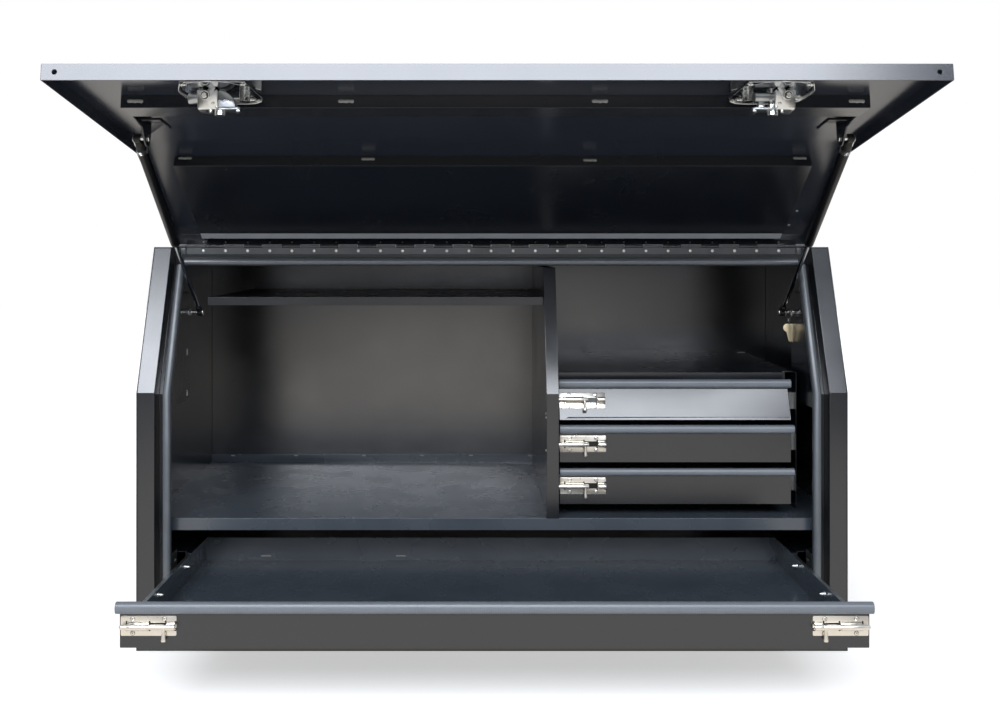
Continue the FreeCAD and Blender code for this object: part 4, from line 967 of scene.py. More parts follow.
@dataclass
class Studio:
    """White surround, pale floor, one overhead softbox, and the camera at the photograph's viewpoint."""

    softbox_place: Triple = (-0.35, -3.6, 2.6)
    softbox_size: Point = (4.2, 1.7)
    softbox_watts: float = 200.0
    window_place: Triple = (-2.15, -3.3, 3.6)
    window_size: Point = (1.5, 1.3)
    window_watts: float = 9.0
    aimed_at: Triple = (0.0, -0.2, 0.5)
    tint: str = "#f2f7ff"
    fill: float = 0.35
    # Where the mirrored horizon ends and the sky begins, and their colours
    sky_span: Point = (0.12, 0.75)
    horizon: Triple = (0.3, 0.31, 0.34)
    sky: Triple = (0.62, 0.68, 0.76)
    floor_width: float = 24.0
    # The mirrored pool: where it fades beside the box and towards it, in metres, and its glow
    pool_side: Point = (1.2, 1.9)
    pool_near: Point = (-1.7, -0.9)
    pool_edge: float = 0.1
    pool_glow: float = 0.7
    pool_tint: str = "#f3eee7"
    lens: float = 40.0
    sensor: float = 36.0
    shift: Point = (0.0225, -0.106)

    def build(self) -> None:
        """Set up light, floor and camera."""
        scene = bpy.context.scene
        scene.view_settings.view_transform = "Standard"
        self.surround(scene)
        self.softbox("softbox", self.softbox_place, self.softbox_size, self.softbox_watts)
        self.softbox("side_window", self.window_place, self.window_size, self.window_watts)
        self.floor(scene)
        camera = bpy.data.objects.new("camera", bpy.data.cameras.new("camera"))
        camera.location = Frame.EYE * MM
        camera.rotation_euler = (math.pi / 2, 0, 0)
        camera.data.lens = self.lens
        camera.data.sensor_width = self.sensor
        camera.data.shift_x, camera.data.shift_y = self.shift
        camera.data.clip_end = 100.0
        scene.collection.objects.link(camera)
        scene.camera = camera
        LOG.info("studio: camera, floor, softbox and surround")

    def surround(self, scene: bpy.types.Scene) -> None:
        """White behind the object, and for reflections a dark horizon under a pale sky.

        Args:
            scene: The scene that gets the world.
        """
        world = bpy.data.worlds.new("surround")
        scene.world = world
        world.use_nodes = True
        tree = world.node_tree
        tree.nodes.clear()
        rays = wire(tree, "ShaderNodeLightPath").outputs
        height = wire(
            tree, "ShaderNodeSeparateXYZ", {0: wire(tree, "ShaderNodeTexCoord").outputs["Generated"]}
        ).outputs["Z"]
        ramp = wire(tree, "ShaderNodeValToRGB", {"Fac": height})
        stops = ramp.color_ramp.elements
        for stop, position, colour in zip(stops, self.sky_span, (self.horizon, self.sky)):
            stop.position, stop.color = position, (*colour, 1)
        mirrored = wire(tree, "ShaderNodeBackground", {"Color": ramp.outputs["Color"], "Strength": 1.0})
        soft = wire(tree, "ShaderNodeBackground", {"Color": (1, 1, 1, 1), "Strength": self.fill})
        white = wire(tree, "ShaderNodeBackground", {"Color": (1, 1, 1, 1), "Strength": 1.0})
        lit = wire(
            tree,
            "ShaderNodeMixShader",
            {0: rays["Is Glossy Ray"], 1: soft.outputs[0], 2: mirrored.outputs[0]},
        )
        seen = wire(
            tree,
            "ShaderNodeMath",
            {0: rays["Is Camera Ray"], 1: rays["Is Transmission Ray"]},
            operation="MAXIMUM",
        )
        both = wire(
            tree, "ShaderNodeMixShader", {0: seen.outputs[0], 1: lit.outputs[0], 2: white.outputs[0]}
        )
        wire(tree, "ShaderNodeOutputWorld", {"Surface": both.outputs[0]})

    def softbox(self, name: str, place: Triple, size: Point, watts: float) -> None:
        """Hang a rectangular light in front, aimed at the object, which the slopes and lips mirror.

        Args:
            name: The light's name.
            place: Where it hangs, in metres.
            size: Its width and height, in metres.
            watts: Its power.
        """
        light = bpy.data.lights.new(name, "AREA")
        light.shape = "RECTANGLE"
        light.size, light.size_y = size
        light.energy = watts
        light.color = linear(self.tint)[:3]
        lamp = bpy.data.objects.new(name, light)
        lamp.location = place
        aimed = Vector(self.aimed_at) - Vector(place)
        lamp.rotation_euler = aimed.to_track_quat("-Z", "Y").to_euler()
        lamp.visible_camera = False
        bpy.context.scene.collection.objects.link(lamp)

    def floor(self, scene: bpy.types.Scene) -> None:
        """A white floor that keeps the soft shadow, with a bright pool in front for reflections.

        Args:
            scene: The scene that gets the floor.
        """
        bm = bmesh.new()
        bmesh.ops.create_grid(bm, x_segments=2, y_segments=2, size=self.floor_width / 2)
        mesh = bpy.data.meshes.new("floor")
        bm.to_mesh(mesh)
        bm.free()
        ground = bpy.data.objects.new("floor", mesh)
        scene.collection.objects.link(ground)
        mesh.materials.append(self.floor_paint())

    def floor_paint(self) -> bpy.types.Material:
        """Matt white paint, lit evenly to the horizon for the camera.

        Returns:
            The floor's material.
        """
        material = bpy.data.materials.new("matt_white_floor_paint")
        material.use_nodes = True
        tree = material.node_tree
        tree.nodes.clear()
        rays = wire(tree, "ShaderNodeLightPath").outputs
        where = wire(tree, "ShaderNodeTexCoord").outputs["Object"]
        apart = wire(tree, "ShaderNodeSeparateXYZ", {0: where}).outputs
        spread = wire(tree, "ShaderNodeVectorMath", {0: where}, operation="LENGTH").outputs["Value"]
        paint = wire(tree, "ShaderNodeBsdfDiffuse", {"Color": (0.9, 0.9, 0.9, 1)}).outputs[0]
        open_floor = wire(
            tree,
            "ShaderNodeMapRange",
            {"Value": spread, "From Min": 0.8, "From Max": 2.0, "To Min": 0.5, "To Max": 1.0},
        ).outputs["Result"]
        glow = wire(tree, "ShaderNodeEmission", {"Color": (1, 1, 1, 1), "Strength": open_floor}).outputs[0]
        bright = wire(tree, "ShaderNodeAddShader", {0: paint, 1: glow}).outputs[0]
        width = wire(tree, "ShaderNodeMath", {0: apart["X"]}, operation="ABSOLUTE").outputs[0]
        side = wire(
            tree,
            "ShaderNodeMapRange",
            {
                "Value": width,
                "From Min": self.pool_side[0],
                "From Max": self.pool_side[1],
                "To Min": 1.0,
                "To Max": self.pool_edge,
            },
            interpolation_type="SMOOTHSTEP",
        ).outputs["Result"]
        near = wire(
            tree,
            "ShaderNodeMapRange",
            {
                "Value": apart["Y"],
                "From Min": self.pool_near[0],
                "From Max": self.pool_near[1],
                "To Min": self.pool_edge,
                "To Max": self.pool_glow,
            },
            interpolation_type="SMOOTHSTEP",
        ).outputs["Result"]
        pool = wire(tree, "ShaderNodeMath", {0: side, 1: near}, operation="MAXIMUM").outputs[0]
        mirrored = wire(
            tree, "ShaderNodeEmission", {"Color": linear(self.pool_tint), "Strength": pool}
        ).outputs[0]
        plain = wire(tree, "ShaderNodeMixShader", {0: rays["Is Camera Ray"], 1: paint, 2: bright}).outputs[0]
        both = wire(tree, "ShaderNodeMixShader", {0: rays["Is Glossy Ray"], 1: plain, 2: mirrored})
        wire(tree, "ShaderNodeOutputMaterial", {"Surface": both.outputs[0]})
        return material


# The cabinet


@dataclass
class Cabinet:
    """The welded shell, its door frame and seal, and what is fixed inside."""

    frame: Frame
    outer_edge: float = 0.8
    inner_edge: float = 0.6
    jamb_middle: float = 641.0
    sill_middle: float = 62.0
    front: float = -310.0
    fold_height: float = 508.0
    slope: float = math.radians(FRAME_LEAN)
    seal_front: float = -2.0
    seal_corner: float = 12.0
    header_along: float = 290.0
    header_half: float = 640.0
    header_seal_front: float = 20.5
    header_seal_share: float = 0.72
    header_low: float = 758.9
    rivet_pitch: float = 46.5
    rivets: int = 27
    rivet_height: float = 787.2
    rivet_head: Point = (3.4, 1.0)
    leaf_face: float = -161.0
    # The hinge's barrel beyond the leaves: where it starts, how long and how thick it is
    barrel_start: float = 640.3
    barrel_length: float = 20.5
    barrel_radius: float = 2.4
    wall_face: float = 641.0
    # The blocks below the barrel's ends: their length, and their corners' depth and height
    end_block_length: float = 10.0
    end_block_low: Point = (-162.6, 779.5)
    end_block_high: Point = (-158.9, 793.5)
    stud_radius: float = 4.0
    stud_length: float = 29.0
    # The tack welds' length, width and height, and where the photograph shows them, in pixels
    floor_bead: Triple = (10.0, 2.6, 1.6)
    bank_bead: Triple = (20.0, 2.4, 1.6)
    plate_bead: Triple = (14.0, 4.0, 1.5)
    floor_weld_columns: tuple[int, ...] = (233, 296, 364, 422, 471, 530)
    floor_weld_row: float = 455.6
    bank_weld_columns: tuple[int, ...] = (589, 658, 741)
    bank_weld_row: float = 352.6
    plate_weld_column: int = 187
    plate_weld_rows: tuple[int, ...] = (352, 393)
    # The divider's screws: their heads' radius and height, a point on its left face, and their heights
    screw_head: Point = (2.6, 1.4)
    screw_face: Point = (108.0, -272.0)
    screw_heights: tuple[float, ...] = (462.0, 454.0, 388.0)

    outer_sheets: tuple[str, ...] = (
        "base_panel",
        "top_panel",
        "left_side_panel",
        "right_side_panel",
        "left_jamb",
        "right_jamb",
        "sill_rail",
        "header_rail",
        "divider_panel",
    )
    inner_sheets: tuple[str, ...] = (
        "upper_shelf",
        "drawer_bank_top",
        "drawer_bank_side",
        "strut_mount_plates",
        "bottom_slide_outers",
    )
    # A bulb of 16 mm on a narrower clip, as (inward, depth) points
    seal_section: tuple[Point, ...] = (
        (0.0, 0.0),
        (3.3, 0.6),
        (6.0, 2.2),
        (7.6, 4.8),
        (7.9, 7.6),
        (6.9, 10.4),
        (5.4, 12.0),
        (5.4, 21.5),
        (-5.4, 21.5),
        (-5.4, 12.0),
        (-6.9, 10.4),
        (-7.9, 7.6),
        (-7.6, 4.8),
        (-6.0, 2.2),
        (-3.3, 0.6),
    )

    def build(self) -> None:
        """Dress every fixed piece of the cabinet."""
        body = Body.CABINET.value
        for node in self.outer_sheets:
            self.frame.soften(node, body, POWDER_COAT, self.outer_edge)
        # The inside sheets take the darker copy of the coat, as painted shade
        for node in self.inner_sheets:
            self.frame.soften(node, body, SHADED_INNER_COAT, self.inner_edge)
        self.frame.soften("back_panel", body, BACK_COAT, self.outer_edge)
        # The main floor takes the tray coat painted paler as light
        self.frame.soften("main_floor", body, TRAY_COAT_PAINTED_LIGHT, self.inner_edge)
        self.frame.soften("hinge_cabinet_leaf", body, HINGE_STRIP_PAINTED_SHEEN, 0.2)
        self.frame.soften("drawer_slide_outers", body, ZINC_PLATE, 0.3)
        self.frame.soften("strikers_and_keepers", body, ZINC_PLATE, 0.4)
        self.frame.coat("hinge_pin", ZINC_PLATE)
        self.seal()
        self.hinge_rivets()
        self.hinge_ends()
        self.studs()
        self.welds()
        self.divider_screws()

    def seal(self) -> None:
        """The rubber bulb round the opening, mitred where the frame leans back."""
        deep = Vector((0, 1, 0))
        back = Vector((0, math.cos(self.slope), -math.sin(self.slope)))
        up = Vector((0, math.sin(self.slope), math.cos(self.slope)))
        mitre = Vector((0, 1, -math.tan(self.slope / 2)))
        near = self.seal_front
        rise = (self.header_low - self.fold_height) / math.cos(self.slope)
        stations: list[Station] = []
        for side in (-1, 1):
            x = side * self.jamb_middle
            across = Vector((-side, 0, 0))
            fold = Vector((x, self.front, self.fold_height))
            leg = [
                (fold + up * rise + back * near, across, back),
                (fold + mitre * near, across, mitre),
            ]
            centre = Vector(
                (x - side * self.seal_corner, self.front + near, self.sill_middle + self.seal_corner)
            )
            for turn in (math.radians(degrees) for degrees in range(0, 91, 18)):
                inward = Vector((-side * math.cos(turn), 0, math.sin(turn)))
                leg.append((centre - inward * self.seal_corner, inward, deep))
            stations.extend(leg if side < 0 else reversed(leg))
        header = [
            (
                Vector((x, self.front, self.fold_height))
                + up * self.header_along
                + back * self.header_seal_front,
                up,
                back,
            )
            for x in (-self.header_half, self.header_half)
        ]
        shallow = [(a, b * self.header_seal_share) for a, b in self.seal_section]
        loop = Assembly().add(extruded(self.seal_section, stations)).add(extruded(shallow, header))
        loop.publish("door_seal_bulb", BULB_RUBBER_PAINTED_SHEEN, Body.CABINET.value, ("door_seal",), sharp=50.0)

    def hinge_rivets(self) -> None:
        """The row of blind rivets through the hinge's lower leaf."""
        row = Assembly()
        first = -(self.rivets - 1) / 2
        for index in range(self.rivets):
            place = at_mm((first + index) * self.rivet_pitch, self.leaf_face + 0.1, self.rivet_height)
            row.add(dome(*self.rivet_head, 12), aim(place, (0, -1, 0)))
        row.publish("hinge_rivet_row", RIVET_ALUMINIUM, Body.CABINET.value, ("hinge_rivets",))

    def hinge_ends(self) -> None:
        """The plain ends of the hinge's barrel, beyond its leaves, and the corner blocks below them."""
        ends = Assembly()
        _, depth, height = HINGE_LINE
        for side in Side:
            way = side.value
            barrel = rounded_bar(self.barrel_radius, self.barrel_length, 0.5)
            ends.add(barrel, aim(at_mm(way * self.barrel_start, depth, height), (way, 0, 0)))
            low, high = sorted((way * self.wall_face, way * (self.wall_face + self.end_block_length)))
            ends.add(block((low, *self.end_block_low), (high, *self.end_block_high), 0.6))
        ends.publish("hinge_end_blocks", HINGE_STRIP_PAINTED_SHEEN, Body.CABINET.value)

    def studs(self) -> None:
        """The struts' lower studs, each with its washer, nut and retaining head."""
        pair = Assembly()
        for side in Side:
            place = aim(at_mm(side.value * self.wall_face, *LOWER_STUD), (-side.value, 0, 0))
            washer = 1.6
            pair.add(rounded_bar(8.4, washer, 0.3), place)
            pair.add(hexagon(6.6, 4.0, washer), place)
            pair.add(rounded_bar(self.stud_radius, self.stud_length, 0.4), place)
            head = [(0, 28.2), (5.6, 28.2), (6.5, 29.2), (6.2, 30.6), (3.0, 31.3), (0, 31.3)]
            pair.add(turned(head), place)
        pair.publish("lower_strut_studs", CHROME_PLATE, Body.CABINET.value, ("cabinet_ball_studs",))

    def welds(self) -> None:
        """Tack welds along the seams, where the photograph shows them."""
        beads = Assembly()
        floor_seam = ("main_floor", self.floor_weld_columns, self.floor_weld_row, self.floor_bead)
        bank_seam = ("drawer_bank_top", self.bank_weld_columns, self.bank_weld_row, self.bank_bead)
        for node, columns, row, size in (floor_seam, bank_seam):
            for column in columns:
                point, _ = self.frame.sight(node, column, row)
                beads.add(weld_bead(*size), aim(point, (0, -0.7, 0.7)))
        for row in self.plate_weld_rows:
            point, normal = self.frame.sight("strut_mount_plates", self.plate_weld_column, row)
            beads.add(weld_bead(*self.plate_bead), aim(point, normal, 90.0))
        beads.publish("cabinet_weld_beads", WELD_PAINTED_HIGHLIGHT, Body.CABINET.value)

    def divider_screws(self) -> None:
        """Three small heads on the divider's left face."""
        heads = Assembly()
        for height in self.screw_heights:
            point, normal = self.frame.seat("divider_panel", at_mm(*self.screw_face, height))
            heads.add(dome(*self.screw_head, 12), aim(point, normal))
        heads.publish("divider_screw_heads", RIVET_ALUMINIUM, Body.CABINET.value)


# The lid


@dataclass
class Lid:
    """The bent lid with its stiffeners, brackets and studs, drawn in the open pose."""

    frame: Frame
    bracket_face: float = 603.0
    bracket_sheet: float = 3.0
    arm_width: float = 16.0
    arm_height: float = 319.0
    stud_start: float = 600.0
    stud_length: float = 25.0
    # A column and the row of the edge of the strip painted paler as lit, in pixels
    rubbed_place: Point = (475.0, 233.5)
    # Where the photograph shows the welds and the blind rivets, in pixels
    stiffener_welds: tuple[Point, ...] = ((135, 101), (346, 101), (600, 101), (857, 101))
    panel_welds: tuple[Point, ...] = ((185, 158), (368, 159), (590, 160), (800, 158))
    rivet_places: tuple[Point, ...] = ((797, 211), (741, 225), (789, 225))
    bead: Triple = (26.0, 6.0, 1.1)
    rivet_head: Point = (3.0, 1.2)
    # A face of the skin's outside looks up at least this far, and is larger than this in square metres
    skin_rise: float = 0.7
    skin_area: float = 0.05

    def build(self) -> None:
        """Dress the lid and what is fixed to it."""
        body = Body.LID.value
        shell = self.frame.copy("lid_shell")
        for face in shell.faces:
            outside = face.normal.z > self.skin_rise and face.calc_area() > self.skin_area
            face.material_index = 1 if outside else 0
        Assembly(shell).publish(
            "lid_shell_dressed", (LID_COAT_PAINTED_LIGHT, WEATHERED_COAT), body, ("lid_shell",), 0.8
        )
        self.inner_panel()
        for side in Side:
            replaced = ("strut_brackets",) if side is Side.LEFT else ()
            self.bracket(side).publish(f"{side.word}_strut_bracket", POWDER_COAT, body, replaced)
        self.frame.soften("lid_stiffener_rail", body, POWDER_COAT, 0.5)
        self.frame.soften("hinge_lid_leaf", body, POWDER_COAT, 0.2)
        self.frame.coat("lid_rivets", ZINC_PLATE)
        self.studs()
        self.welds()
        self.rivets()

    def inner_panel(self) -> None:
        """The shallow inner panel, painted dark as shade, its strip beside the hinge painted paler as lit."""
        panel = self.frame.copy("lid_inner_panel")
        edge, facing = self.frame.sight("lid_inner_panel", *self.rubbed_place)
        across = facing.cross(Vector((1, 0, 0))).normalized()
        across = across if across.z < 0 else -across
        bmesh.ops.bisect_plane(
            panel, geom=[*panel.verts, *panel.edges, *panel.faces], plane_co=edge, plane_no=across
        )
        # Faces beyond the edge that turn to the camera get the strip painted paler as lit
        for face in panel.faces:
            beyond = (face.calc_center_median() - edge).dot(across) > 0
            face.material_index = 1 if beyond and face.normal.dot(facing) > 0.95 else 0
        Assembly(panel).publish(
            "lid_inner_panel_dressed", (SHADED_INNER_COAT, STRIP_PAINTED_LIGHT), Body.LID.value, ("lid_inner_panel",), 0.5
        )

    def bracket(self, side: Side) -> Assembly:
        """The plate that hangs from the lid for the strut's stud, with its arm and bent tip.

        Args:
            side: The bracket's side.

        Returns:
            The bracket, swung open with the lid.
        """
        way = side.value
        parts = Assembly()
        # Height up the closed lid, and depth from its skin
        plate = [(276, 2), (384, 2), (384, 24), (380, 38), (373, 44), (361, 44)]
        plate += [(350, 36), (334, 18), (276, 14)]
        # Local X and Y become Z and Y, so that the plate's thickness runs across the lid
        stand = Matrix(((0, 0, -way), (0, 1, 0), (1, 0, 0))).to_4x4()
        foot = Matrix.Translation(at_mm(way * self.bracket_face, LID_SKIN, 0))
        parts.add(slab(plate, self.bracket_sheet, 0.4), foot @ stand)
        # Distance towards the lid's middle, and depth from its skin
        arm = [(0, 6.0), (38, 6.0), (54, 19), (51, 22.5), (36, 10.5), (0, 10.5)]
        lay = Matrix(((-way, 0, 0), (0, 1, 0), (0, 0, 1))).to_4x4()
        shoulder = Matrix.Translation(at_mm(way * self.bracket_face, LID_SKIN, self.arm_height))
        parts.add(slab(arm, self.arm_width, 0.4), shoulder @ lay)
        return parts.move(lid_swing())

    def studs(self) -> None:
        """The struts' upper studs: head, shank and the nut behind the bracket."""
        pair = Assembly()
        for side in Side:
            way = side.value
            outward = (way, 0, 0)
            base = at_mm(way * self.stud_start, *UPPER_STUD)
            place = aim(base, outward)
            pair.add(hexagon(6.4, 3.0, -3.0), place)
            pair.add(rounded_bar(4.0, self.stud_length, 0.4), place)
            collar = base + at_mm(way * self.bracket_sheet, 0, 0)
            pair.add(rounded_bar(6.2, 2.0, 0.4), aim(collar, outward))
            head = [(0, 0), (5.6, 0), (6.5, 1.0), (6.2, 2.2), (3.0, 3.0), (0, 3.0)]
            pair.add(turned(head), aim(base + at_mm(way * 23.3, 0, 0), outward))
        pair.publish("upper_strut_studs", CHROME_PLATE, Body.LID.value, ("lid_ball_studs",))

    def welds(self) -> None:
        """Plug welds in the stiffener and the inner panel."""
        beads = Assembly()
        seams = {"lid_stiffener_rail": self.stiffener_welds, "lid_inner_panel": self.panel_welds}
        for node, places in seams.items():
            for column, row in places:
                point, normal = self.frame.sight(node, column, row)
                across = Vector((1, 0, 0))
                up = normal.cross(across).normalized()
                turn = Matrix((across, up, normal)).transposed().to_4x4()
                beads.add(weld_bead(*self.bead), Matrix.Translation(point) @ turn)
        beads.publish("lid_weld_beads", WELD_PAINTED_HIGHLIGHT, Body.LID.value)

    def rivets(self) -> None:
        """Three bright blind rivets near the lid's right end."""
        heads = Assembly()
        for column, row in self.rivet_places:
            point, normal = self.frame.sight("lid_shell", column, row)
            heads.add(dome(*self.rivet_head, 12), aim(point, normal))
        heads.publish("lid_blind_rivets", RIVET_ALUMINIUM, Body.LID.value)


class LockSlot(IntEnum):
    """The finishes of a lock's body, by material slot."""

    CHROME = 0
    ZINC = 1
    ENAMEL = 2


@dataclass
class Lock:
    """One lever lock, drawn in the closed lid's place and swung open with the lid."""

    frame: Frame
    side: Side
    x: float = 418.0
    z: float = 125.2
    draft: float = 0.34
    lever_turn: float = 142.0
    # The cast block's corners before its front leans back, and the knob's place on that front
    block_low: Triple = (1.0, -19.0, 20.0)
    block_high: Triple = (33.0, 19.0, 48.0)
    knob_place: Point = (20.5, 27.7)
    # The pins below the block: their radius, where they start, and each one's X, Y and length
    pin_radius: float = 2.4
    pin_depth: float = 44.0
    pins: tuple[Triple, ...] = ((14.0, -4.0, 8.5), (3.0, -12.0, 3.0), (29.0, -6.0, 3.0))
    pan_depth: float = 16.0
    cylinder_radius: float = 8.0
    cylinder_depth: float = 29.0
    drum_radius: float = 26.0
    drum_width: float = 22.0
    # The pan's outline, rounded at its outer end and pointed towards the lip's centre
    outline: tuple[Point, ...] = (
        (-46.0, -50.0),
        (0.0, -52.0),
        (42.0, -50.0),
        (52.0, -42.0),
        (58.5, -24.0),
        (60.5, 0.0),
        (58.0, 22.0),
        (52.0, 38.0),
        (42.0, 48.0),
        (26.0, 51.5),
        (-30.0, 51.5),
        (-44.0, 48.0),
        (-54.0, 38.0),
        (-59.5, 20.0),
        (-57.5, 6.0),
        (-51.0, -30.0),
    )
    lugs: tuple[Point, ...] = ((47.0, -41.0), (46.0, 36.0), (-42.0, -42.0), (-40.0, 40.0))

    def local(self) -> Matrix:
        """From the lock's own axes to the closed lid: X outward, Y along the box's height, Z into the box."""
        way = self.side.value
        turn = Matrix(((way, 0, 0), (0, 0, 1), (0, 1, 0))).to_4x4()
        return Matrix.Translation(at_mm(way * self.x, LID_SKIN, self.z)) @ turn

    def build(self) -> None:
        """Make the lock's moving and fixed hardware."""
        place = lid_swing() @ self.local()
        word = self.side.word
        stands_for = ("lock_housings",) if self.side is Side.LEFT else ()
        trim = self.casting(place)
        trim.publish(
            f"{word}_lock_body", (CHROME_PLATE, ZINC_PLATE, SATIN_ENAMEL), Body.LID.value, stands_for
        )
        self.frame.soften(f"{word}_lock_handle", f"{word}_lock", CHROME_PLATE, 0.7)
        self.claw(place).publish(
            f"{word}_latch_claw_dressed", ZINC_PLATE, f"{word}_lock", (f"{word}_latch_claw",)
        )
        self.frame.soften(f"{word}_key_barrel", f"{word}_barrel", CHROME_PLATE, 0.3)

    def claw(self, place: Matrix) -> Assembly:
        """The claw plate on the handle's shaft, with its hooked end.

        Args:
            place: From the lock's own axes to the open lid.

        Returns:
            The claw, in place.
        """
        parts = Assembly()
        arm = [(4.0, -10.0), (8.0, -4.0), (8.0, 4.0), (4.0, 10.0), (-22.0, 9.0)]
        arm += [(-31.0, 5.0), (-31.0, -8.0), (-26.0, -11.0), (-14.0, -10.0)]
        parts.add(slab(arm, 4.0, 0.8), Matrix.Translation(at_mm(0, 0, 44.5)))
        parts.add(block((-31.0, -9.0, 46.0), (-25.0, 5.0, 52.0), 1.0))
        parts.add(rounded_bar(8.2, 2.4, 0.6), aim(at_mm(0, 0, 48.2), (0, 0, 1)))
        return parts.move(place)

    def casting(self, place: Matrix) -> Assembly:
        """The block, its knob and cylinder, the spring housing, pins, and the pan's raised rim and lugs.

        Args:
            place: From the lock's own axes to the open lid.

        Returns:
            The parts, in place.
        """
        parts = Assembly()
        body = block(self.block_low, self.block_high, 2.4, 3)
        for vert in body.verts:
            vert.co.y += (vert.co.z - self.block_low[2] * MM) * self.draft
        parts.add(body)
        self.knob(parts)
        self.cylinder(parts)
        for u, v, length in self.pins:
            pin = rounded_bar(self.pin_radius, length, 0.6, 16)
            parts.add(pin, aim(at_mm(u, v, self.pin_depth), (0, 0, 1)))
        parts.add(self.rim())
        lug = [(0, 0), (5.6, 0), (5.2, 3.4), (3.6, 5.0), (0, 5.4)]
        for u, v in self.lugs:
            parts.add(turned(lug, 16), aim(at_mm(u, v, 16.8), (0, 0, 1)))
            parts.add(block((u - 2.4, v - 7.0, 17.0), (u + 2.4, v + 5.0, 21.0), 1.6))
        # The claw's boss towards the hinge
        boss = rounded_bar(9.0, 6.0, 1.0)
        parts.add(boss, aim(at_mm(0.0, 8.0, 40.0), (0, 0, 1)), LockSlot.ZINC)
        return parts.move(place)

    def knob(self, parts: Assembly) -> None:
        """The round knob on the block's front with its rim, dark rings of painted shade in its grooves, and
        the lever that crosses the block.

        Args:
            parts: The lock's parts so far, in its own axes.
        """
        front = self.block_low[1] + 10.0 * self.draft
        x, depth = self.knob_place
        knob = aim(at_mm(x, front, depth), (0, -1, self.draft))
        rim = [(0, -1), (7.6, -1), (7.6, 3.4), (7.0, 4.4), (5.9, 4.4), (5.4, 3.2), (0, 3.2)]
        parts.add(turned(rim, 32), knob)
        parts.add(turned([(0, 2.6), (4.2, 2.6), (4.2, 7.4), (3.2, 8.4), (0, 8.4)], 24), knob)
        # Dark rings of painted shade in the knob's grooves
        for radius, height in ((5.0, 3.5), (8.0, -0.6)):
            groove_shade = loop_of_wire(radius, 0.7, 28, 6)
            parts.add(groove_shade, knob @ Matrix.Translation((0, 0, height * MM)), LockSlot.ENAMEL)
        lever = slab([(-5.0, -2), (5.0, -2), (3.8, 21), (-3.8, 21)], 2.2, 0.8)
        pivot = at_mm(19.0, front + 1.4, 29.5)
        parts.add(lever, aim(pivot, (0, -1, self.draft), self.lever_turn), LockSlot.ZINC)
        parts.add(dome(2.3, 1.8, 12), aim(at_mm(8.5, front - 0.6, 40.5), (0, -1, 0)))

    def cylinder(self, parts: Assembly) -> None:
        """The grey cylinder: outward with a drum on the left lock, towards the centre on the right one.

        Args:
            parts: The lock's parts so far, in its own axes.
        """
        r = self.drum_radius
        if self.side is Side.LEFT:
            barrel = rounded_bar(self.cylinder_radius, 18.0, 1.0)
            parts.add(barrel, aim(at_mm(31.0, 0.0, self.cylinder_depth), (1, 0, 0)), LockSlot.ZINC)
            arc = [(r * math.cos(t), r * math.sin(t)) for t in (math.radians(d) for d in range(0, 91, 10))]
            drum = slab([(0, 0), *arc], self.drum_width, 1.6)
            # Local X and Y become -X and -depth, so that the curve bulges towards the lip's centre
            drum.transform(Matrix(((-1, 0, 0), (0, 0, 1), (0, -1, 0))).to_4x4())
            bmesh.ops.recalc_face_normals(drum, faces=drum.faces)
            parts.add(drum, Matrix.Translation(at_mm(1.0, -14.0, 46.0)), LockSlot.ZINC)
        else:
            barrel = rounded_bar(self.cylinder_radius, 29.0, 1.0)
            parts.add(barrel, aim(at_mm(2.0, -4.0, self.cylinder_depth), (-1, 0, 0)), LockSlot.ZINC)
            parts.add(block((-22.0, -8.0, 36.0), (-12.0, 6.0, 47.0), 1.4), slot=LockSlot.ZINC)
            parts.add(block((-6.0, -14.0, 34.0), (-1.0, -6.0, 50.0), 1.0))

    def rim(self) -> bmesh.types.BMesh:
        """The rounded rim that stands up round the pan's back.

        Returns:
            The rim, in the lock's own axes.
        """
        section = [(-1.2, 0.0), (-1.2, 5.8), (-0.8, 6.8), (0.0, 7.2), (0.8, 6.8), (1.2, 5.8), (1.2, 0.0)]
        stations: list[Station] = []
        count = len(self.outline)
        for index in range(count + 1):
            u, v = self.outline[index % count]
            before, after = self.outline[index - 1], self.outline[(index + 1) % count]
            along = Vector((after[0] - before[0], after[1] - before[1], 0)).normalized()
            across = Vector((-along.y, along.x, 0))
            # Low beside the lid's lip, and full towards the hinge
            lift = min(1.0, max(0.35, 0.35 + (v + 44.0) / 30.0))
            stations.append((Vector((u, v, self.pan_depth)), across, Vector((0, 0, lift))))
        return extruded(section, stations)


class StrutSlot(IntEnum):
    """The finishes of a strut's tube or rod, by material slot."""

    STEEL = 0
    NYLON = 1
    CHROME = 2


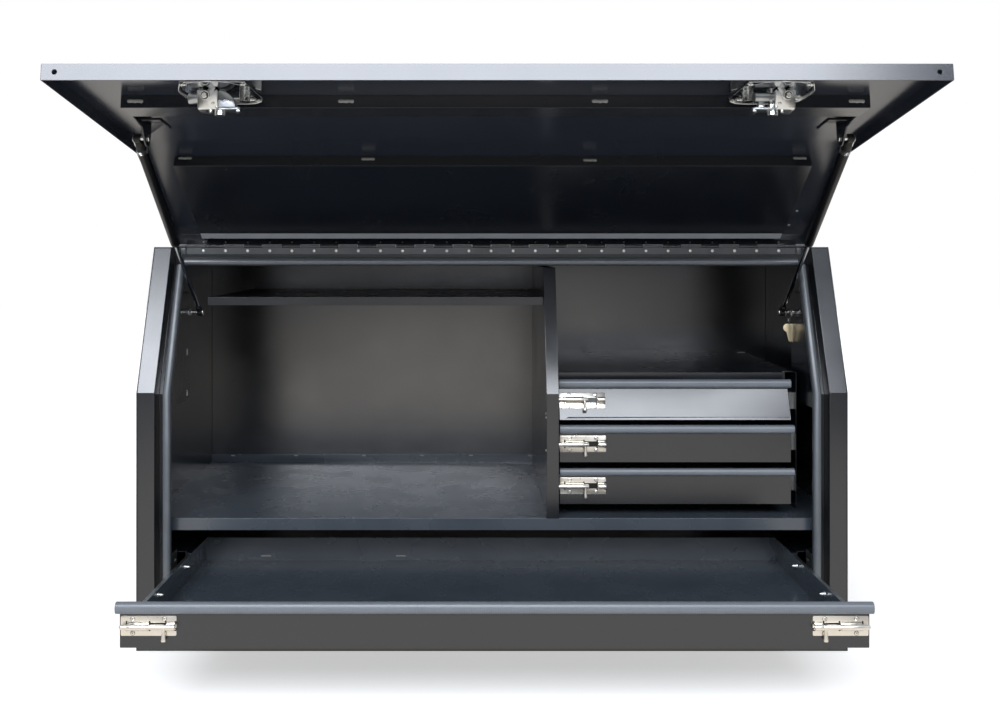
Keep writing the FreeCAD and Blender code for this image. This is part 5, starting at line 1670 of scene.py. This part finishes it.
@dataclass
class GasStrut:
    """One gas strut: an enamelled tube on the lid's stud, and a chromed rod on the cabinet's."""

    side: Side
    x: float = 618.0
    tube_length: float = 290.0
    tube_radius: float = 9.0
    neck: float = 15.0
    rod_radius: float = 4.0
    rod_length: float = 255.0
    # The eye at each end: its bore's and its outer radius, and half its width
    eye_bore: float = 4.35
    eye_radius: float = 8.0
    eye_half: float = 4.9

    def build(self) -> None:
        """Make the tube and the rod on their line."""
        x = self.side.value * self.x
        top = at_mm(x, *UPPER_STUD)
        foot = at_mm(x, *LOWER_STUD)
        along = (foot - top).normalized()
        self.tube(top, along)
        self.rod(foot, -along)

    def eye(self) -> bmesh.types.BMesh:
        """Make the round eye that sits on a stud.

        Returns:
            The eye about the local Z axis.
        """
        bore, outer, half = self.eye_bore, self.eye_radius, self.eye_half
        return turned([(bore, -half), (outer, -half), (outer, half), (bore, half), (bore, -half)])

    def tube(self, top: Vector, along: Vector) -> None:
        """The tube with its socket, clip rings and crimped mouth.

        Args:
            top: The upper stud's centre.
            along: Direction from it to the lower stud.
        """
        word = self.side.word
        place = aim(top, along)
        start = self.neck
        end = start + self.tube_length
        r = self.tube_radius
        body = [
            (0, start + 9),
            (r - 2, start + 9),
            (r - 0.4, start + 10.5),
            (r, start + 12),
            (r, end - 8),
            (r - 0.7, end - 6.6),
            (r - 0.7, end - 5),
            (r, end - 3.6),
            (r - 0.5, end - 1.2),
            (r - 2.6, end),
            (self.rod_radius + 0.5, end),
            (self.rod_radius + 0.5, start + 25),
            (0, start + 25),
        ]
        seat = start + 10.5
        socket = [(0, 5.6), (4.6, 5.6), (6.4, 9), (7.6, 13), (8.3, 20), (8.3, seat), (0, seat)]
        piece = Assembly()
        piece.add(turned(body), place)
        piece.add(turned(socket), place, StrutSlot.NYLON)
        piece.add(self.eye(), aim(top, (1, 0, 0)), StrutSlot.NYLON)
        for height in (start + 14, start + 17, start + 20):
            ring = loop_of_wire(r + 0.1, 0.65, 28, 6)
            piece.add(ring, place @ Matrix.Translation((0, 0, height * MM)), StrutSlot.CHROME)
        clip = block((-1.2, -4.4, -2.0), (1.2, 4.4, 17.0), 0.8)
        outward = Vector((self.side.value * 6.6 * MM, 0, 0))
        piece.add(clip, Matrix.Translation(outward) @ place, StrutSlot.CHROME)
        piece.publish(
            f"{word}_strut_tube_dressed",
            (SATIN_ENAMEL, NYLON_SOCKET, CHROME_PLATE),
            f"{word}_tube",
            (f"{word}_strut_tube",),
        )

    def rod(self, foot: Vector, along: Vector) -> None:
        """The rod with its eye end.

        Args:
            foot: The lower stud's centre.
            along: Direction from it to the upper stud.
        """
        word = self.side.word
        place = aim(foot, along)
        piece = Assembly()
        beyond_neck = place @ Matrix.Translation((0, 0, self.neck * MM))
        piece.add(rounded_bar(self.rod_radius, self.rod_length, 0.6), beyond_neck, StrutSlot.STEEL)
        end = [(0, 5.6), (4.6, 5.6), (4.7, 9), (5.6, 11.5), (5.6, 18.5), (4.6, 20.0), (0, 20.0)]
        piece.add(turned(end), place, StrutSlot.NYLON)
        piece.add(self.eye(), aim(foot, (1, 0, 0)), StrutSlot.NYLON)
        piece.publish(
            f"{word}_strut_rod_dressed", (GROUND_ROD, NYLON_SOCKET), f"{word}_rod", (f"{word}_strut_rod",)
        )


# Drawers


class TraySlot(IntEnum):
    """The finishes of a drawer's tray, by material slot."""

    FACE = 0
    INSIDE = 1
    TRIM = 2


@dataclass
class Drawer:
    """A folded tray with a plain front and a rolled lip."""

    frame: Frame
    name: str
    front: float
    lip_low: float
    lip_radius: float = 2.6

    def build(self) -> None:
        """Dress the tray and its runners."""
        tray = self.frame.copy(f"{self.name}_tray")
        lip = [
            e
            for e in tray.edges
            if abs(e.verts[0].co.x - e.verts[1].co.x) > 0.3
            and max(v.co.y for v in e.verts) < self.front * MM
            and min(v.co.z for v in e.verts) > self.lip_low * MM
            and e.is_manifold
            and e.calc_face_angle() > math.radians(20)
        ]
        LOG.info("%s: %d lip edges rolled", self.name, len(lip))
        ease(tray, lip, self.lip_radius, 3)
        # Inside faces take the tray coat painted paler as light
        for face in tray.faces:
            centre = face.calc_center_median()
            if centre.y >= (self.front + 1.0) * MM:
                face.material_index = TraySlot.INSIDE
            elif centre.z > self.lip_low * MM:
                face.material_index = TraySlot.TRIM
            else:
                face.material_index = TraySlot.FACE
        Assembly(tray).publish(
            f"{self.name}_tray_dressed",
            (POWDER_COAT, TRAY_COAT_PAINTED_LIGHT, RIBBED_TRIM_PAINTED_SHEEN),
            self.name,
            (f"{self.name}_tray",),
            0.4,
        )
        self.frame.soften(f"{self.name}_runners", self.name, ZINC_PLATE, 0.4)


class BoltSlot(IntEnum):
    """The finishes of a bolt's housing, by material slot."""

    STAINLESS = 0
    SHADOW = 1


@dataclass
class BarrelBolt:
    """A stainless barrel bolt: a stamped plate, two rolled tubes, four screws, and the rod with its peg.

    It is drawn on a face at Y = 0 about Z = 0, from its start towards +X, and mirrored for the other hand.
    """

    name: str
    start: float
    way: int
    out: float
    face: Matrix
    tray: str
    rod_body: str
    replaces_housing: tuple[str, ...]
    replaces_rod: tuple[str, ...]
    length: float = 93.0
    width: float = 33.0
    plate: float = 1.5
    axis: float = 8.5
    radius: float = 4.0
    tube: float = 5.5
    corner: float = 2.2
    tubes: tuple[Point, Point] = ((12.0, 48.0), (77.0, 92.0))
    # Dark marks of painted shade in the bends beside the tubes' ends: along the plate, and off its middle
    openings: tuple[float, ...] = (10.4, 48.8, 75.6, 92.0)
    opening_height: float = 5.6
    # The folds' lines of painted shade, off the plate's middle
    fold_height: float = 6.3
    # The screws, in from the plate's ends and off its middle
    screw_inset: float = 20.0
    screw_height: float = 12.0
    slot_turn: float = 0.6
    rod_length: float = 80.0
    knob_along: float = 73.2

    def place(self) -> Matrix:
        """From the bolt's own axes to its place on the drawer."""
        return self.face @ Matrix.Translation((self.start * MM, 0, 0)) @ Matrix.Diagonal((self.way, 1, 1, 1))

    def housing(self) -> Assembly:
        """The plate with its pressed edges, tubes and screws.

        Returns:
            The housing, in place on its drawer.
        """
        parts = Assembly()
        half = self.width / 2
        r = self.corner
        corners: list[Point] = []
        for cx, cz, first in (
            (self.length - r, half - r, 0),
            (r, half - r, 90),
            (r, -half + r, 180),
            (self.length - r, -half + r, 270),
        ):
            for step in range(4):
                turn = math.radians(first + 30 * step)
                corners.append((cx + r * math.cos(turn), cz + r * math.sin(turn)))
        flat = Matrix(((1, 0, 0), (0, 0, -1), (0, 1, 0))).to_4x4()
        parts.add(slab(corners, self.plate, 0.35), flat)
        for near, far in self.tubes:
            parts.add(self.arch(near, far))
        # Dark marks of painted shade in the bends beside the tubes' ends
        for x in self.openings:
            for z in (-self.opening_height, self.opening_height):
                opening = block((x - 1.9, -self.plate - 0.1, z - 2.8), (x + 0.9, -0.4, z + 2.8), 0.1, 1)
                parts.add(opening, slot=BoltSlot.SHADOW)
        # Dark lines of painted shade along the tubes' folds
        for near, far in self.tubes:
            for z in (-self.fold_height, self.fold_height):
                fold = block((near, -self.plate - 0.08, z - 0.5), (far, -0.4, z + 0.5), 0.05, 1)
                parts.add(fold, slot=BoltSlot.SHADOW)
        # A dark strip of painted shade along the rod's track between the tubes
        track = block((48.5, -self.plate - 0.12, -5.4), (76.5, -0.4, 5.4), 0.1, 1)
        parts.add(track, slot=BoltSlot.SHADOW)
        for x in (self.screw_inset, self.length - self.screw_inset):
            for z in (-self.screw_height, self.screw_height):
                head = aim(at_mm(x, -self.plate, z), (0, -1, 0))
                # A dark disc of painted shadow under each screw's head
                parts.add(rounded_bar(4.0, 0.2, 0.05, 20), head, BoltSlot.SHADOW)
                screw = [(0, 0), (3.5, 0), (3.3, 0.7), (2.2, 1.2), (1.3, 1.25), (1.0, 0.5), (0, 0.4)]
                parts.add(turned(screw, 20), head)
                # The screw's slot is a dark bar of painted shade
                slot = block((-2.0, -0.35, 0.6), (2.0, 0.35, 1.1), 0.1, 1)
                parts.add(slot, head @ Matrix.Rotation(self.slot_turn, 4, "Z"), BoltSlot.SHADOW)
        return parts.move(self.place())

    def arch(self, near: float, far: float) -> bmesh.types.BMesh:
        """One tube, rolled from the plate: a half-round arch on two straight walls, open below.

        Args:
            near: Where it starts along the plate, in millimetres.
            far: Where it ends.

        Returns:
            The tube.
        """
        outer = [
            (self.tube * math.cos(t), self.axis + self.tube * math.sin(t))
            for t in (math.radians(d) for d in range(0, 181, 15))
        ]
        bore = self.radius + 0.3
        inner = [
            (bore * math.cos(t), self.axis + bore * math.sin(t))
            for t in (math.radians(d) for d in range(180, -1, -15))
        ]
        base = self.plate - 0.4
        outline = [(self.tube, base), *outer, (-self.tube, base), (-bore, base), *inner, (bore, base)]
        bm = slab(outline, far - near, 0.35)
        # Local X and Y become the bolt's Z and -Y, and the extrusion runs along +X
        bm.transform(Matrix(((0, 0, 1), (0, -1, 0), (1, 0, 0))).to_4x4())
        bmesh.ops.recalc_face_normals(bm, faces=bm.faces)
        bmesh.ops.translate(bm, vec=(near * MM, 0, 0), verts=bm.verts)
        return bm

    def rod(self) -> Assembly:
        """The sliding rod with eased ends, and its tapered peg.

        Returns:
            The rod, in place on its drawer.
        """
        parts = Assembly()
        tip = at_mm(-self.out, -self.axis, 0)
        r, end = self.radius, self.rod_length
        bar = [(0, 0), (2.8, 0), (3.7, 0.9), (r, 2.0), (r, 78.6), (3.4, end), (0, end)]
        parts.add(turned(bar, 24), aim(tip, (1, 0, 0)))
        peg = [(0, 0), (2.6, 0), (2.6, 6), (3.0, 9), (4.0, 20), (4.3, 22), (3.6, 23.6), (0, 24)]
        knob = at_mm(self.knob_along - self.out, -self.axis, 0)
        parts.add(turned(peg, 20), aim(knob, (0, 0, -1)))
        return parts.move(self.place())

    def build(self) -> None:
        """Make the housing and the rod."""
        self.rod().publish(f"{self.name}_rod_dressed", POLISHED_STAINLESS, self.rod_body, self.replaces_rod)
        self.housing().publish(
            f"{self.name}_housing_dressed",
            (POLISHED_STAINLESS, SATIN_ENAMEL),
            self.tray,
            self.replaces_housing,
        )


@dataclass(frozen=True)
class SmallDrawer:
    """Where one of the small drawers and its bolt are."""

    name: str
    front: float
    lip_low: float
    bolt_face: Point
    lean: float = 0.0


@dataclass
class DrawerBank:
    """The three small drawers with their bolts."""

    frame: Frame
    drawers: tuple[SmallDrawer, ...] = (
        SmallDrawer("top", -235.0, 507.0, (-244.34, 484.0), math.radians(FRAME_LEAN)),
        SmallDrawer("middle", -260.0, 419.5, (-260.0, 399.0)),
        SmallDrawer("lower", -260.0, 334.5, (-260.0, 315.0)),
    )
    lip_radius: float = 2.4
    bolt_start: float = 137.0
    # How far a latched bolt stands out of its plate, into the divider
    latched: float = 22.2

    def build(self) -> None:
        """Dress the drawers and their bolts."""
        for place in self.drawers:
            drawer = f"{place.name}_drawer"
            bolt = f"{place.name}_bolt"
            Drawer(self.frame, drawer, place.front, place.lip_low, self.lip_radius).build()
            BarrelBolt(
                name=bolt,
                start=self.bolt_start,
                way=1,
                out=self.latched,
                face=Matrix.Translation(at_mm(0, *place.bolt_face)) @ Matrix.Rotation(-place.lean, 4, "X"),
                tray=drawer,
                rod_body=bolt,
                replaces_housing=(f"{bolt}_housing",),
                replaces_rod=(f"{bolt}_rod",),
            ).build()


@dataclass
class BottomDrawer:
    """The full-width drawer, pulled out, with a bolt at each end."""

    frame: Frame
    front: float = -642.6
    lip_low: float = 182.0
    lip_radius: float = 3.6
    bolt_start: float = 623.0
    bolt_height: float = 163.0
    # Where the photograph shows the rivets' tails and the tack welds, in pixels
    wall_rivets: tuple[Point, ...] = ((158, 595), (185, 567), (797, 566), (825, 594))
    floor_welds: tuple[Point, ...] = ((266, 556), (401, 556))
    bead: Triple = (22.0, 3.4, 1.2)

    def build(self) -> None:
        """Dress the drawer, its rivets and its bolts."""
        Drawer(self.frame, "bottom_drawer", self.front, self.lip_low, self.lip_radius).build()
        for side in Side:
            word = side.word
            first = side is Side.LEFT
            BarrelBolt(
                name=f"bottom_{word}_bolt",
                start=side.value * self.bolt_start,
                way=-side.value,
                out=0.0,
                face=Matrix.Translation(at_mm(0, self.front, self.bolt_height)),
                tray=Body.BOTTOM_DRAWER.value,
                rod_body=f"bottom_{word}_bolt",
                replaces_housing=("bottom_bolt_housings",) if first else (),
                replaces_rod=(f"bottom_{word}_bolt_rod",),
            ).build()
        self.welds()
        self.rivet_tails()

    def welds(self) -> None:
        """Tack welds along the tray's rear seam."""
        beads = Assembly()
        for column, row in self.floor_welds:
            point, normal = self.frame.sight("bottom_drawer_tray", column, row)
            beads.add(weld_bead(*self.bead), aim(point, normal))
        beads.publish("bottom_drawer_welds", WELD_PAINTED_HIGHLIGHT, Body.BOTTOM_DRAWER.value)

    def rivet_tails(self) -> None:
        """The blind rivets' tails that stand out of the side walls, inside the tray."""
        tails = Assembly()
        for column, row in self.wall_rivets:
            point, normal = self.frame.sight("bottom_drawer_tray", column, row)
            tail = turned([(0, 0), (4.4, 0), (4.2, 1.2), (2.8, 1.8), (2.6, 6.5), (1.4, 9.5), (0, 10.5)], 16)
            tails.add(tail, aim(point, (math.copysign(1, normal.x), 0, 0)))
        tails.publish("bottom_drawer_rivet_tails", RIVET_ALUMINIUM, Body.BOTTOM_DRAWER.value)


@dataclass
class Keys:
    """Two keys on a split ring that hangs from the right lower stud."""

    x: float = 632.0
    stud_radius: float = 4.3
    ring_radius: float = 9.5
    gauge: float = 0.9
    turned_out: float = 20.0

    def build(self) -> None:
        """Make the ring and the keys."""
        y, z = LOWER_STUD
        centre = at_mm(self.x, y, z - (self.ring_radius - self.gauge - self.stud_radius))
        facing = (Matrix.Rotation(math.radians(self.turned_out), 3, "Z") @ Vector((1, 0, 0))).normalized()
        ring = Assembly()
        for shift in (-0.55, 0.55):
            coil = loop_of_wire(self.ring_radius, self.gauge * 0.7)
            ring.add(coil, aim(centre + facing * (shift * MM), facing))
        low = centre - at_mm(0, 0, self.ring_radius)
        for index, (tilt, step) in enumerate(((-14.0, -2.0), (-8.0, 1.6))):
            link = low + at_mm(0.8 * (index * 2 - 1), step, -4.0)
            ring.add(loop_of_wire(6.0, 0.6, 24, 6), aim(link, (0.96, -0.1 + 0.3 * index, 0.1)))
            turn = Matrix.Rotation(math.radians(tilt), 4, "Y")
            hung = Matrix.Translation(link + at_mm(-4.5 + 8.0 * index, 0, -8.0))
            ring.add(self.key(index), hung @ turn, 1)
        ring.publish("keys_on_ring", (CHROME_PLATE, NICKEL_KEY), Body.KEYS.value, ("spare_keys",))

    @staticmethod
    def key(index: int) -> bmesh.types.BMesh:
        """One key that hangs from the local origin, seen flat from the front.

        Args:
            index: Number of the key, which shifts its cuts.

        Returns:
            The key.
        """
        turns = [math.radians(degrees) for degrees in range(-128, 129, 16)]
        bow = [(8.6 * math.sin(turn), -7.4 + 8.6 * math.cos(turn)) for turn in turns]
        cuts = [(3.8, -16), (3.8, -21), (2.4, -23), (3.4, -25), (1.9, -28), (3.0, -31)]
        cuts += [(2.2, -34), (0.6, -38)]
        right = [(x - 0.3 * (index and k % 2), y - index) for k, (x, y) in enumerate(cuts)]
        left = [(-0.8, -38.5), (-3.8, -35), (-3.8, -16)]
        bm = slab([*bow, *right, *left], 1.6, 0.3)
        bm.transform(Matrix(((1, 0, 0), (0, 0, -1), (0, 1, 0))).to_4x4())
        bmesh.ops.recalc_face_normals(bm, faces=bm.faces)
        return bm


def main() -> None:
    """Load the frame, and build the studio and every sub-assembly."""
    logging.basicConfig(level=logging.INFO, format="%(name)s: %(message)s")
    frame = Frame()
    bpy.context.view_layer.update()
    Studio().build()
    Cabinet(frame).build()
    Lid(frame).build()
    frame.soften("lock_pans", Body.LID.value, CHROME_SHEET, 0.8)
    for side in Side:
        Lock(frame, side).build()
        GasStrut(side).build()
    DrawerBank(frame).build()
    BottomDrawer(frame).build()
    Keys().build()


if __name__ == "__main__":
    main()
